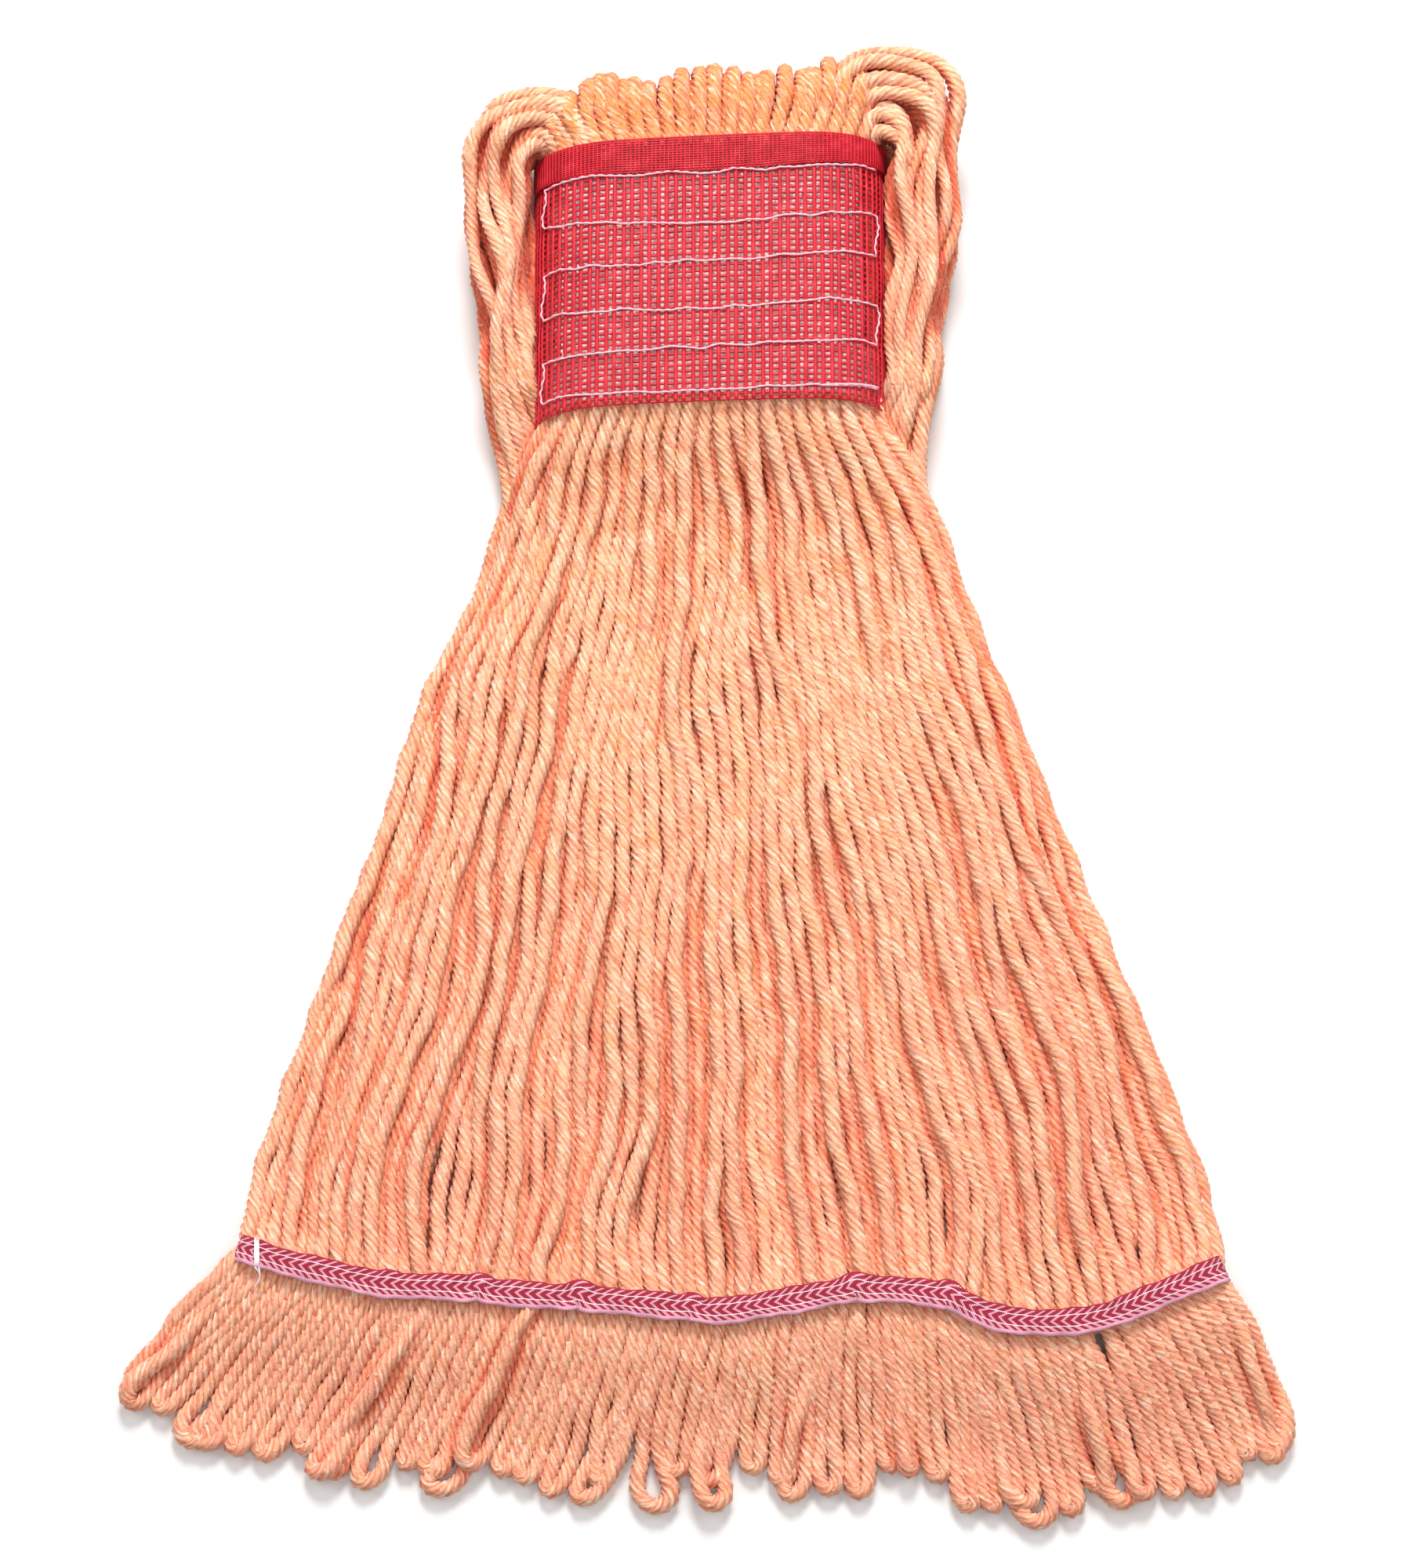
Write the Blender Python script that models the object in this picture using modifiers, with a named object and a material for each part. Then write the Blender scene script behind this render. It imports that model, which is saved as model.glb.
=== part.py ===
"""Looped-end wet mop head with a mesh headband, lying flat and folded over at its top.

The yarn runs through the headband, rolls over backwards at the top fold and comes back underneath, so the
mop has a front half, which shows, and a back half beneath it. Each half is a fan of yarn locks that passes
through its own tail tape and ends in loops. Metres, +Z up, +Y towards the fold, origin at the middle of the
box's base.
"""

import bmesh
import bpy
from mathutils import Vector

# Clearance between neighbouring pieces.
GAP = 0.0003
LOCK_CORNER = 0.12

# Headband: a five-inch open mesh band, crowned over the yarn that it holds.
BAND_HALF_WIDTH = 0.0785
BAND_FLAT_HALF_WIDTH = 0.036
BAND_BOTTOM_Y = 0.1566
BAND_TOP_Y = 0.2793
BAND_SIDE_Z = 0.0188
BAND_CROWN_Z = 0.0490
BAND_THICKNESS = 0.0010
BAND_UNDER_Z = 0.0170
HEM_HALF_WIDTH = 0.068
CORE_HALF_WIDTH = 0.0762
CORE_BUNDLES = 4

# Serpentine stitch rows, top to bottom: height at the left end, at the right end, and rise in the middle.
STITCH_DIAMETER = 0.0009
STITCH_HALF_WIDTH = 0.0735
STITCH_ROWS = (
    (0.2603, 0.2693, -0.0020),
    (0.2411, 0.2478, -0.0053),
    (0.2189, 0.2284, -0.0031),
    (0.1983, 0.2060, -0.0030),
    (0.1775, 0.1866, -0.0012),
    (0.1599, 0.1656, -0.0022),
)
BACKTACK_LENGTH = 0.025
BACKTACK_OFFSET = 0.0026

# Front half: left edge, right edge, underside and top at each height down the fan, and droop at its edges.
FRONT_LOCKS = 8
FRONT_FAN = (
    (0.1250, -0.0925, 0.0965, 0.0185, 0.0440, 0.012),
    (0.0775, -0.1050, 0.1140, 0.0175, 0.0390, 0.012),
    (0.0070, -0.1345, 0.1416, 0.0165, 0.0345, 0.010),
    (-0.0630, -0.1570, 0.1680, 0.0160, 0.0310, 0.009),
    (-0.1320, -0.1820, 0.1950, 0.0150, 0.0285, 0.008),
    (-0.1950, -0.1950, 0.2120, 0.0142, 0.0262, 0.006),
)
TAPE_WIDTH = 0.0127
TAPE_THICKNESS = 0.0009
TAPE_SETTLE = 0.0018
FRONT_TAPE_LEFT = -0.1990
FRONT_TAPE_RIGHT = 0.2165
FRONT_TAPE_Y = (-0.2090, -0.2235, -0.2280, -0.2318, -0.2352, -0.2275, -0.2350, -0.2386, -0.2170)
FRONT_TAPE_YARN_Z = (0.0142, 0.0232)
FRONT_TIPS = (
    (-0.2470, -0.2660),
    (-0.1900, -0.3030),
    (-0.1250, -0.3150),
    (-0.0590, -0.3200),
    (0.0080, -0.3250),
    (0.0720, -0.3240),
    (0.1380, -0.3300),
    (0.2000, -0.3200),
    (0.2470, -0.2830),
)
# Share of the way from the tape to the tips, underside, top.
FRONT_FRINGE_DROP = ((0.0, 0.0135, 0.0240), (0.36, 0.0018, 0.0215), (0.80, 0.0, 0.0150), (1.0, 0.0, 0.0075))

# Back half: the same yarn coming back beneath, a little narrower, resting on the floor.
HINGE_Y = 0.1580
BACK_LOCKS = 6
BACK_FAN = (
    (HINGE_Y - GAP, -0.0990, 0.0970, 0.0, 0.0160, 0.003),
    (0.1130, -0.0910, 0.0980, 0.0, 0.0158, 0.003),
    (0.0775, -0.1000, 0.1080, 0.0, 0.0152, 0.003),
    (0.0070, -0.1260, 0.1330, 0.0, 0.0148, 0.003),
    (-0.0630, -0.1480, 0.1580, 0.0, 0.0142, 0.003),
)
BACK_TAPE_Y = -0.1290
BACK_TAPE_LEFT = -0.1660
BACK_TAPE_RIGHT = 0.1780
BACK_TAPE_YARN_Z = (0.0018, 0.0108)
BACK_TIPS_Y = -0.2140
BACK_TIPS_LEFT = -0.1820
BACK_TIPS_RIGHT = 0.1960
BACK_FRINGE_DROP = ((0.0, 0.0, 0.0118), (0.55, 0.0, 0.0115), (1.0, 0.0, 0.0065))

# Beneath the headband the back half has a flat middle and a fat shoulder on each side.
UPPER_BUNDLES = 4
UPPER_HALF_WIDTH = 0.0800
UPPER_TOP_Z = 0.0163
SHOULDER_INNER_X = 0.0822
SHOULDER_RINGS = (
    (0.1583, 0.1000, 0.0235),
    (0.2000, 0.1050, 0.0340),
    (0.2430, 0.1100, 0.0385),
    (0.2740, 0.1100, 0.0390),
)

# Top fold: each strand leaves the headband, turns over and goes beneath.
FOLD_BUNDLES = 4
FOLD_TOP_Y = 0.3175
FOLD_UNDER_Z = 0.0022
FOLD_OVER_Z = 0.0470
CORNER_INNER_X = 0.0815
CORNER_OUTER_X = 0.1080
CORNER_TOP_Y = {"left": 0.3060, "right": 0.3300}


def clear_scene():
    for old in list(bpy.data.objects):
        bpy.data.objects.remove(old, do_unlink=True)


def material(name, colour, roughness):
    made = bpy.data.materials.new(name)
    made.use_nodes = True
    shader = made.node_tree.nodes["Principled BSDF"]
    shader.inputs["Base Color"].default_value = (*colour, 1.0)
    shader.inputs["Roughness"].default_value = roughness
    shader.inputs["Metallic"].default_value = 0.0
    return made


def add_object(name, data, finish):
    made = bpy.data.objects.new(name, data)
    made.data.materials.append(finish)
    MOP.objects.link(made)
    return made


def loft(name, rings, finish):
    """A closed solid through rings of equally many points."""
    shape = bmesh.new()
    levels = [[shape.verts.new(point) for point in ring] for ring in rings]
    count = len(rings[0])
    for lower, upper in zip(levels, levels[1:]):
        for i in range(count):
            j = (i + 1) % count
            shape.faces.new((lower[i], lower[j], upper[j], upper[i]))
    shape.faces.new(levels[0][::-1])
    shape.faces.new(levels[-1])
    bmesh.ops.recalc_face_normals(shape, faces=shape.faces)
    mesh = bpy.data.meshes.new(name)
    shape.to_mesh(mesh)
    shape.free()
    return add_object(name, mesh, finish)


def along(points, share):
    """The point at this share of the way along points spaced evenly in share."""
    place = min(max(share, 0.0), 1.0) * (len(points) - 1)
    first = min(int(place), len(points) - 2)
    return Vector(points[first]).lerp(Vector(points[first + 1]), place - first)


def lock_ring(edge, low, high, droop, start, end):
    """A rounded box section of a lock between two shares of an edge, thinner towards the fan's sides."""
    width = edge[-1][0] - edge[0][0]
    left = start + GAP / width
    right = end - GAP / width
    inset = LOCK_CORNER * (right - left)

    def point(share, level):
        x, y = along(edge, share)
        top = high - droop * abs(2 * share - 1) ** 3
        return (x, y, low + level * (top - low))

    soft = 0.28
    return [
        point(left + inset, 0),
        point(right - inset, 0),
        point(right, soft),
        point(right, 1 - soft),
        point(right - inset, 1),
        point(left + inset, 1),
        point(left, 1 - soft),
        point(left, soft),
    ]


def locks(name, count, stations, finish):
    """A fan of locks side by side. A station is an edge across the fan, its underside, top and droop."""
    for i in range(count):
        rings = [lock_ring(*station, i / count, (i + 1) / count) for station in stations]
        loft(f"{name}_{i + 1}", rings, finish)


def band_bottom(x):
    return BAND_BOTTOM_Y + 0.038 * x - 0.0012 * (x / 0.077) ** 2


def band_top(x):
    return BAND_TOP_Y + 0.048 * x - 0.0012 * (x / BAND_HALF_WIDTH) ** 2


def row_height(row, x):
    """Where a stitch row lies along Y."""
    left, right, rise = row
    share = (x / STITCH_HALF_WIDTH + 1) / 2
    return left + (right - left) * share + rise * (1 - (2 * share - 1) ** 2)


def crown(x):
    """Height of the headband's outer face: flat in the middle, rounded down at both sides."""
    out = max(0.0, (abs(x) - BAND_FLAT_HALF_WIDTH) / (BAND_HALF_WIDTH - BAND_FLAT_HALF_WIDTH))
    return BAND_SIDE_Z + (BAND_CROWN_Z - BAND_SIDE_Z) * max(0.0, 1 - out**2.6) ** 0.5


def across(half_width):
    """Places across the headband, closer together where its side turns down."""
    shares = (0.0, 0.24, 0.46, 0.64, 0.78, 0.88, 0.95, 1.0)
    reach = BAND_HALF_WIDTH - BAND_FLAT_HALF_WIDTH
    right = [BAND_FLAT_HALF_WIDTH + reach * share for share in shares]
    right = [x for x in right if x < half_width - 0.001] + [half_width]
    return [-x for x in reversed(right)] + right


def edge_line(y_of, half_width, shift, steps=8):
    """The points of a headband edge across its width, moved along Y by shift."""
    places = [half_width * (2 * i / steps - 1) for i in range(steps + 1)]
    return [(x, y_of(x) + shift) for x in places]


def draped_shell(name, half_width, bottom_y, top_y, lift, thickness, finish):
    """An open sheet over the crown, given its thickness outwards from its lower face."""
    shape = bmesh.new()
    columns = []
    for x in across(half_width):
        z = crown(x) + lift
        low = Vector((x, bottom_y(x), z))
        high = Vector((x, top_y(x), z))
        columns.append([shape.verts.new(low.lerp(high, i / 3)) for i in range(4)])
    for left, right in zip(columns, columns[1:]):
        for i in range(3):
            shape.faces.new((left[i], right[i], right[i + 1], left[i + 1]))
    mesh = bpy.data.meshes.new(name)
    shape.to_mesh(mesh)
    shape.free()
    made = add_object(name, mesh, finish)
    wall = made.modifiers.new("wall", "SOLIDIFY")
    wall.thickness = thickness
    wall.offset = 1.0
    return made


def headband():
    """The mesh band: a crowned front panel with a turned hem at its top, and a flat back panel."""
    draped_shell(
        "headband_front_panel",
        BAND_HALF_WIDTH,
        band_bottom,
        band_top,
        -BAND_THICKNESS,
        BAND_THICKNESS,
        MESH_RED,
    )
    draped_shell(
        "headband_top_hem",
        HEM_HALF_WIDTH,
        lambda x: row_height(STITCH_ROWS[0], x) + 3 * STITCH_DIAMETER,
        band_top,
        0.0005,
        0.0007,
        HEM_RED,
    )
    edges = [edge_line(y_of, CORE_HALF_WIDTH, 0.0) for y_of in (band_bottom, band_top)]
    loft("headband_back_panel", [flat_ring(edge, BAND_UNDER_Z, BAND_THICKNESS) for edge in edges], MESH_RED)


def flat_ring(edge, low, thickness):
    return [(x, y, low) for x, y in edge] + [(x, y, low + thickness) for x, y in reversed(edge)]


def core_yarn():
    """The yarn between the headband's two panels."""
    low = BAND_UNDER_Z + BAND_THICKNESS + GAP
    high = BAND_CROWN_Z - BAND_THICKNESS - 3 * GAP
    stations = [
        (edge_line(band_bottom, CORE_HALF_WIDTH, 0.0), low, high, 0.021),
        (edge_line(band_top, CORE_HALF_WIDTH, 0.0), low, high, 0.021),
    ]
    locks("core_yarn", CORE_BUNDLES, stations, YARN)


def thread(name, points, diameter, finish):
    curve = bpy.data.curves.new(name, "CURVE")
    curve.dimensions = "3D"
    curve.bevel_depth = diameter / 2
    curve.bevel_resolution = 1
    curve.use_fill_caps = True
    run = curve.splines.new("POLY")
    run.points.add(len(points) - 1)
    for spot, point in zip(run.points, points):
        spot.co = (*point, 1.0)
    return add_object(name, curve, finish)


def above_band(x, lift):
    """The place across and the height of a point this far outside the headband's face."""
    step = 0.0005
    slope = (crown(x + step) - crown(x - step)) / (2 * step)
    out = Vector((-slope, 1.0)).normalized() * (BAND_THICKNESS + lift)
    return x + out.x, crown(x) - BAND_THICKNESS + out.y


def row_point(row, x):
    out_x, z = above_band(x, STITCH_DIAMETER / 2 + 2 * GAP)
    return (out_x, row_height(row, x), z)


def stitching():
    """One lockstitch thread that runs back and forth in six rows, and the doubled run that ends it."""
    places = across(STITCH_HALF_WIDTH)
    places = [x for x in places if abs(x) < STITCH_HALF_WIDTH - 0.002 or abs(x) == STITCH_HALF_WIDTH]
    places.insert(len(places) // 2, 0.0)
    points = []
    for i, row in enumerate(STITCH_ROWS):
        ordered = places if i % 2 else list(reversed(places))
        points.extend(row_point(row, x) for x in ordered)
    thread("headband_stitch_thread", points, STITCH_DIAMETER, THREAD)
    last = STITCH_ROWS[-1]
    end = [x for x in places if x > STITCH_HALF_WIDTH - BACKTACK_LENGTH]
    doubled = [Vector(row_point(last, x)) - Vector((0, BACKTACK_OFFSET, 0)) for x in end]
    thread("headband_backtack", doubled, STITCH_DIAMETER, THREAD)


def rounded_fold(name, start, end, top_y, finish):
    """A D-shaped roll of yarn: flat where it meets the headband, round where it turns over."""
    middle = (FOLD_OVER_Z + FOLD_UNDER_Z) / 2
    reach = (FOLD_OVER_Z - FOLD_UNDER_Z) / 2
    turn = ((0.0, 1.0), (0.55, 0.92), (0.90, 0.60), (1.0, 0.0), (0.90, -0.60), (0.55, -0.92), (0.0, -1.0))
    rings = []
    for share in (0.0, 0.5, 1.0):
        x = start + (end - start) * share
        root = band_top(x) + GAP * 2
        rings.append([(x, root + (top_y - root) * out, middle + reach * up) for out, up in turn])
    loft(name, rings, finish)


def top_fold():
    width = 2 * BAND_HALF_WIDTH / FOLD_BUNDLES
    for i in range(FOLD_BUNDLES):
        start = -BAND_HALF_WIDTH + i * width + GAP
        rounded_fold(f"fold_wrap_{i + 1}", start, start + width - 2 * GAP, FOLD_TOP_Y, YARN)
    for side, sign in (("left", -1), ("right", 1)):
        base = SHOULDER_RINGS[-1][0] + GAP
        rings = []
        tip = CORNER_TOP_Y[side]
        for y, out, under, over in (
            (base, CORNER_OUTER_X, FOLD_UNDER_Z, 0.0400),
            ((base + tip) / 2, CORNER_OUTER_X, FOLD_UNDER_Z, 0.0420),
            (tip, CORNER_OUTER_X - 0.014, 0.0100, 0.0300),
        ):
            inner = CORNER_INNER_X + GAP
            rings.append(box_ring(sign, inner, out, y, under, over))
        loft(f"fold_corner_{side}", rings, YARN)


def box_ring(sign, inner, outer, y, low, high):
    """A section with softened corners, mirrored to the side that sign gives."""
    cut = 0.28
    wide = (outer - inner) * cut
    tall = (high - low) * cut
    spots = (
        (inner + wide, low),
        (outer - wide, low),
        (outer, low + tall),
        (outer, high - tall),
        (outer - wide, high),
        (inner + wide, high),
        (inner, high - tall),
        (inner, low + tall),
    )
    return [(sign * x, y, z) for x, z in spots]


def back_upper():
    """The back half where it lies beneath the headband, with a shoulder of yarn on each side."""
    low_y = HINGE_Y + GAP
    line = [(-UPPER_HALF_WIDTH, low_y), (UPPER_HALF_WIDTH, low_y)]
    top = edge_line(band_top, UPPER_HALF_WIDTH, 0.0)
    stations = [(line, 0.0, UPPER_TOP_Z, 0.0), (top, 0.0, UPPER_TOP_Z, 0.0)]
    locks("back_upper_yarn", UPPER_BUNDLES, stations, YARN)
    for side, sign in (("left", -1), ("right", 1)):
        rings = [box_ring(sign, SHOULDER_INNER_X, out, y, 0.0, top) for y, out, top in SHOULDER_RINGS]
        loft(f"back_shoulder_{side}", rings, YARN)


def fan_line(left, right, y):
    return [(left, y), (right, y)]


def front_tape_line(shift):
    """The front tail tape's wavy middle line, moved along Y by shift."""
    steps = len(FRONT_TAPE_Y) - 1
    width = FRONT_TAPE_RIGHT - FRONT_TAPE_LEFT
    return [(FRONT_TAPE_LEFT + width * i / steps, y + shift) for i, y in enumerate(FRONT_TAPE_Y)]


def fringe_stations(tape_edge, tips, drops):
    """Sections of a fringe from the tape's lower edge out to the loops' tips."""
    steps = len(tips) - 1
    stations = []
    for share, low, high in drops:
        line = [along(tape_edge, i / steps).lerp(Vector(tips[i]), share) for i in range(steps + 1)]
        stations.append((line, low, high, 0.0))
    return stations


def front_half():
    beside = TAPE_WIDTH / 2 + TAPE_SETTLE
    stations = [(edge_line(band_bottom, CORE_HALF_WIDTH, -2 * GAP), 0.0195, 0.0470, 0.019)]
    stations += [(fan_line(left, right, y), *rest) for y, left, right, *rest in FRONT_FAN]
    stations.append((front_tape_line(beside), *FRONT_TAPE_YARN_Z, 0.0))
    stations.append((front_tape_line(-beside), *FRONT_TAPE_YARN_Z, 0.0))
    locks("front_lock", FRONT_LOCKS, stations, YARN)
    fringe = fringe_stations(front_tape_line(-beside - 2 * GAP), FRONT_TIPS, FRONT_FRINGE_DROP)
    locks("front_fringe", FRONT_LOCKS, fringe, YARN)


def back_half():
    beside = TAPE_WIDTH / 2 + TAPE_SETTLE
    upper = fan_line(BACK_TAPE_LEFT, BACK_TAPE_RIGHT, BACK_TAPE_Y + beside)
    lower = fan_line(BACK_TAPE_LEFT, BACK_TAPE_RIGHT, BACK_TAPE_Y - beside)
    stations = [(fan_line(left, right, y), *rest) for y, left, right, *rest in BACK_FAN]
    stations.append((upper, *BACK_TAPE_YARN_Z, 0.0))
    stations.append((lower, *BACK_TAPE_YARN_Z, 0.0))
    locks("back_lock", BACK_LOCKS, stations, YARN)
    start = fan_line(BACK_TAPE_LEFT, BACK_TAPE_RIGHT, BACK_TAPE_Y - beside - 2 * GAP)
    tips = fan_line(BACK_TIPS_LEFT, BACK_TIPS_RIGHT, BACK_TIPS_Y)
    locks("back_fringe", BACK_LOCKS, fringe_stations(start, tips, BACK_FRINGE_DROP), YARN)


def tape(name, line, low, finish):
    """One ply of tail tape, a flat ribbon that follows a line across the fan."""
    half = TAPE_WIDTH / 2
    rings = []
    for x, y in line:
        ends = ((y - half, low), (y + half, low), (y + half, low + TAPE_THICKNESS), (y - half, low + TAPE_THICKNESS))
        rings.append([(x, side, z) for side, z in ends])
    loft(name, rings, finish)


def tail_tapes():
    """Each half's yarn runs between two plies of tape, which keep the fan spread."""
    line = front_tape_line(0.0)
    tape("front_tail_tape_top", line, FRONT_TAPE_YARN_Z[1] + 2 * GAP, TAPE_FINISH)
    tape("front_tail_tape_under", line, FRONT_TAPE_YARN_Z[0] - 2 * GAP - TAPE_THICKNESS, TAPE_FINISH)
    line = fan_line(BACK_TAPE_LEFT, BACK_TAPE_RIGHT, BACK_TAPE_Y)
    tape("back_tail_tape_top", line, BACK_TAPE_YARN_Z[1] + 2 * GAP, TAPE_FINISH)
    tape("back_tail_tape_under", line, BACK_TAPE_YARN_Z[0] - GAP - TAPE_THICKNESS, TAPE_FINISH)


def bar_tack():
    """The thread bar that closes the front tape near its left end."""
    share = 0.026
    x, y = along(front_tape_line(0.0), share)
    z = FRONT_TAPE_YARN_Z[1] + TAPE_THICKNESS + 3 * GAP + 0.0006
    points = [(x + 0.0008, y + 0.0060, z), (x, y, z), (x - 0.0010, y - 0.0062, z)]
    thread("front_bar_tack", points, 0.0011, THREAD)


clear_scene()
MOP = bpy.data.collections.new("string_mop")
bpy.context.scene.collection.children.link(MOP)
YARN = material("blended_yarn", (0.93, 0.45, 0.22), 0.92)
MESH_RED = material("vinyl_mesh", (0.68, 0.02, 0.035), 0.42)
HEM_RED = material("hem_mesh", (0.66, 0.05, 0.09), 0.48)
THREAD = material("stitch_thread", (0.88, 0.62, 0.62), 0.7)
TAPE_FINISH = material("tail_tape", (0.62, 0.16, 0.26), 0.75)
headband()
core_yarn()
stitching()
top_fold()
back_upper()
back_half()
front_half()
tail_tapes()
bar_tack()
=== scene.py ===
import math

import bpy
import numpy as np
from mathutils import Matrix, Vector


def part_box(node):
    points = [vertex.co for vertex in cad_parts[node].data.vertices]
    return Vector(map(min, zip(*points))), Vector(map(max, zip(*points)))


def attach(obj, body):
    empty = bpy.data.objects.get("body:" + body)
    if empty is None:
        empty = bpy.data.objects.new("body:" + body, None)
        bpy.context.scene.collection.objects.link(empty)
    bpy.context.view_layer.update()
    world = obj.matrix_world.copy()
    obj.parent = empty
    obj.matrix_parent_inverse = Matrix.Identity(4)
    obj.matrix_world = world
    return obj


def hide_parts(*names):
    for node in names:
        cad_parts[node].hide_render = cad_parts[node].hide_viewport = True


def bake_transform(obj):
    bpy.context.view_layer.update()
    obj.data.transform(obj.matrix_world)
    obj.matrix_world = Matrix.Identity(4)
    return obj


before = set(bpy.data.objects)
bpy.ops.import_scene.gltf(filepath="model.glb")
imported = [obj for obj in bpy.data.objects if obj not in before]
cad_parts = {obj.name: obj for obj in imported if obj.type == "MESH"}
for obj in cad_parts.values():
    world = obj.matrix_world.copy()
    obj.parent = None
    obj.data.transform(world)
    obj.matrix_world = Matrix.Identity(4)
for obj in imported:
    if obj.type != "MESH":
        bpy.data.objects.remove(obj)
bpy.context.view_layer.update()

chance = np.random.default_rng(24)

# ----------------------------------------------------------------------
# The stage: a pale matt floor that the mop lies on, a big soft lamp over its fold, and a camera that looks
# almost straight down from the fringe's side.
# ----------------------------------------------------------------------
bpy.ops.object.select_all(action="DESELECT")
bpy.ops.mesh.primitive_plane_add(size=40.0, location=(0, 0, 0))
floor = bpy.context.object
floor.name = "floor"


def surface(name, roughness, specular=0.5, colour=None):
    """A new material, with its node tree and its shader."""
    material = bpy.data.materials.new(name)
    material.use_nodes = True
    shader = material.node_tree.nodes["Principled BSDF"]
    shader.inputs["Roughness"].default_value = roughness
    shader.inputs["Specular IOR Level"].default_value = specular
    if colour:
        shader.inputs["Base Color"].default_value = (*colour, 1)
    return material, material.node_tree, shader


floor.data.materials.append(surface("pale_floor", 0.9, 0.1, (0.80, 0.80, 0.80))[0])

world = bpy.data.worlds.new("studio")
bpy.context.scene.world = world
world.use_nodes = True
world.node_tree.nodes["Background"].inputs["Color"].default_value = (1.0, 0.985, 0.97, 1)
world.node_tree.nodes["Background"].inputs["Strength"].default_value = 0.31


def soft_lamp(name, place, aim, size, watts, colour):
    lamp = bpy.data.lights.new(name, "AREA")
    lamp.shape = "SQUARE"
    lamp.size = size
    lamp.energy = watts
    lamp.color = colour
    holder = bpy.data.objects.new(name, lamp)
    bpy.context.scene.collection.objects.link(holder)
    holder.location = place
    holder.rotation_euler = (Vector(aim) - Vector(place)).to_track_quat("-Z", "Y").to_euler()


soft_lamp("key_lamp", (0.0, 1.85, 1.75), (0, 0, 0), 0.8, 71, (1.0, 0.99, 0.975))
soft_lamp("fill_lamp", (0.05, -0.8, 2.5), (0, 0, 0), 1.4, 17, (1.0, 0.985, 0.98))
for side, name in ((-1, "left_lamp"), (1, "right_lamp")):
    soft_lamp(name, (1.5 * side, 0.5, 1.6), (0, 0.05, 0), 1.2, 13, (1.0, 0.985, 0.98))

CAMERA_AIM = (0.0003, -0.0080, 0.015)
CAMERA_ELEVATION = math.radians(76)
CAMERA_DISTANCE = 1.776
view = bpy.data.cameras.new("view")
view.lens = 93.83
view.sensor_fit = "AUTO"
view.sensor_width = 36.0
camera = bpy.data.objects.new("camera", view)
bpy.context.scene.collection.objects.link(camera)
camera.location = (
    CAMERA_AIM[0],
    CAMERA_AIM[1] - CAMERA_DISTANCE * math.cos(CAMERA_ELEVATION),
    CAMERA_AIM[2] + CAMERA_DISTANCE * math.sin(CAMERA_ELEVATION),
)
camera.rotation_euler = (math.pi / 2 - CAMERA_ELEVATION, 0, 0)
bpy.context.scene.camera = camera
bpy.context.scene.view_settings.view_transform = "Standard"

# ----------------------------------------------------------------------
# Mop yarn: blended cotton and synthetic staple, several plies laid up left-handed into a soft strand about
# 7 mm thick. Each strand is one length, looped at both ends and stitched across its middle.
# ----------------------------------------------------------------------
STRAND = 0.0069
PLIES = 6
TWIST_TURN = 0.0225
PLY_DEPTH = 0.15
PLUMP = 0.57 * STRAND


def run_length(points):
    """Each point's distance along the path."""
    return np.concatenate([[0], np.cumsum(np.linalg.norm(np.diff(points, axis=0), axis=1))])


def unit(vectors):
    return vectors / np.linalg.norm(vectors, axis=1)[:, None]


def eased(t):
    return t * t * (3 - 2 * t)


def strand_rings(path, step, radius, phase):
    """Rings of points round a path, lobed like laid-up plies, and each ring's distance along the path."""
    path = np.asarray(path, float)
    far = run_length(path)
    count = max(8, int(round(far[-1] / step)))
    along = np.linspace(0, far[-1], count + 1)
    middle = np.stack([np.interp(along, far, path[:, k]) for k in range(3)], axis=1)
    for _ in range(2):
        middle[1:-1] = 0.25 * middle[:-2] + 0.5 * middle[1:-1] + 0.25 * middle[2:]
    tangent = unit(np.gradient(middle, axis=0))
    normal = np.empty_like(tangent)
    side = np.array((0.0, 0.0, 1.0))
    for i in range(len(tangent)):
        side = side - tangent[i] * side.dot(tangent[i])
        side /= np.linalg.norm(side)
        normal[i] = side
    across = np.cross(tangent, normal)
    points = 2 * PLIES
    lobe = np.where(np.arange(points) % 2 == 0, 1.0, 1.0 - 2 * PLY_DEPTH) * radius
    turn = phase - 2 * np.pi * along / TWIST_TURN + 0.35 * np.sin(along / 0.021 + 5 * phase)
    angle = turn[:, None] + 2 * np.pi * np.arange(points) / points
    swell = 1 + 0.06 * np.sin(along / 0.013 + 7 * phase) + 0.05 * np.sin(along / 0.0047 + 3 * phase)
    reach = lobe[None, :] * swell[:, None]
    rings = (
        middle[:, None, :]
        + normal[:, None, :] * (np.cos(angle) * reach)[:, :, None]
        + across[:, None, :] * (np.sin(angle) * reach)[:, :, None]
    )
    return rings, middle, along


CELL = 0.0009
MAP_SIZE = (720, 900)
MAP_CORNER = (0.324, 0.405)


def map_cell(spots):
    return tuple(np.clip(((spots[:, :2] + MAP_CORNER) / CELL).astype(int), 0, np.array(MAP_SIZE) - 1).T)


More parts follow.
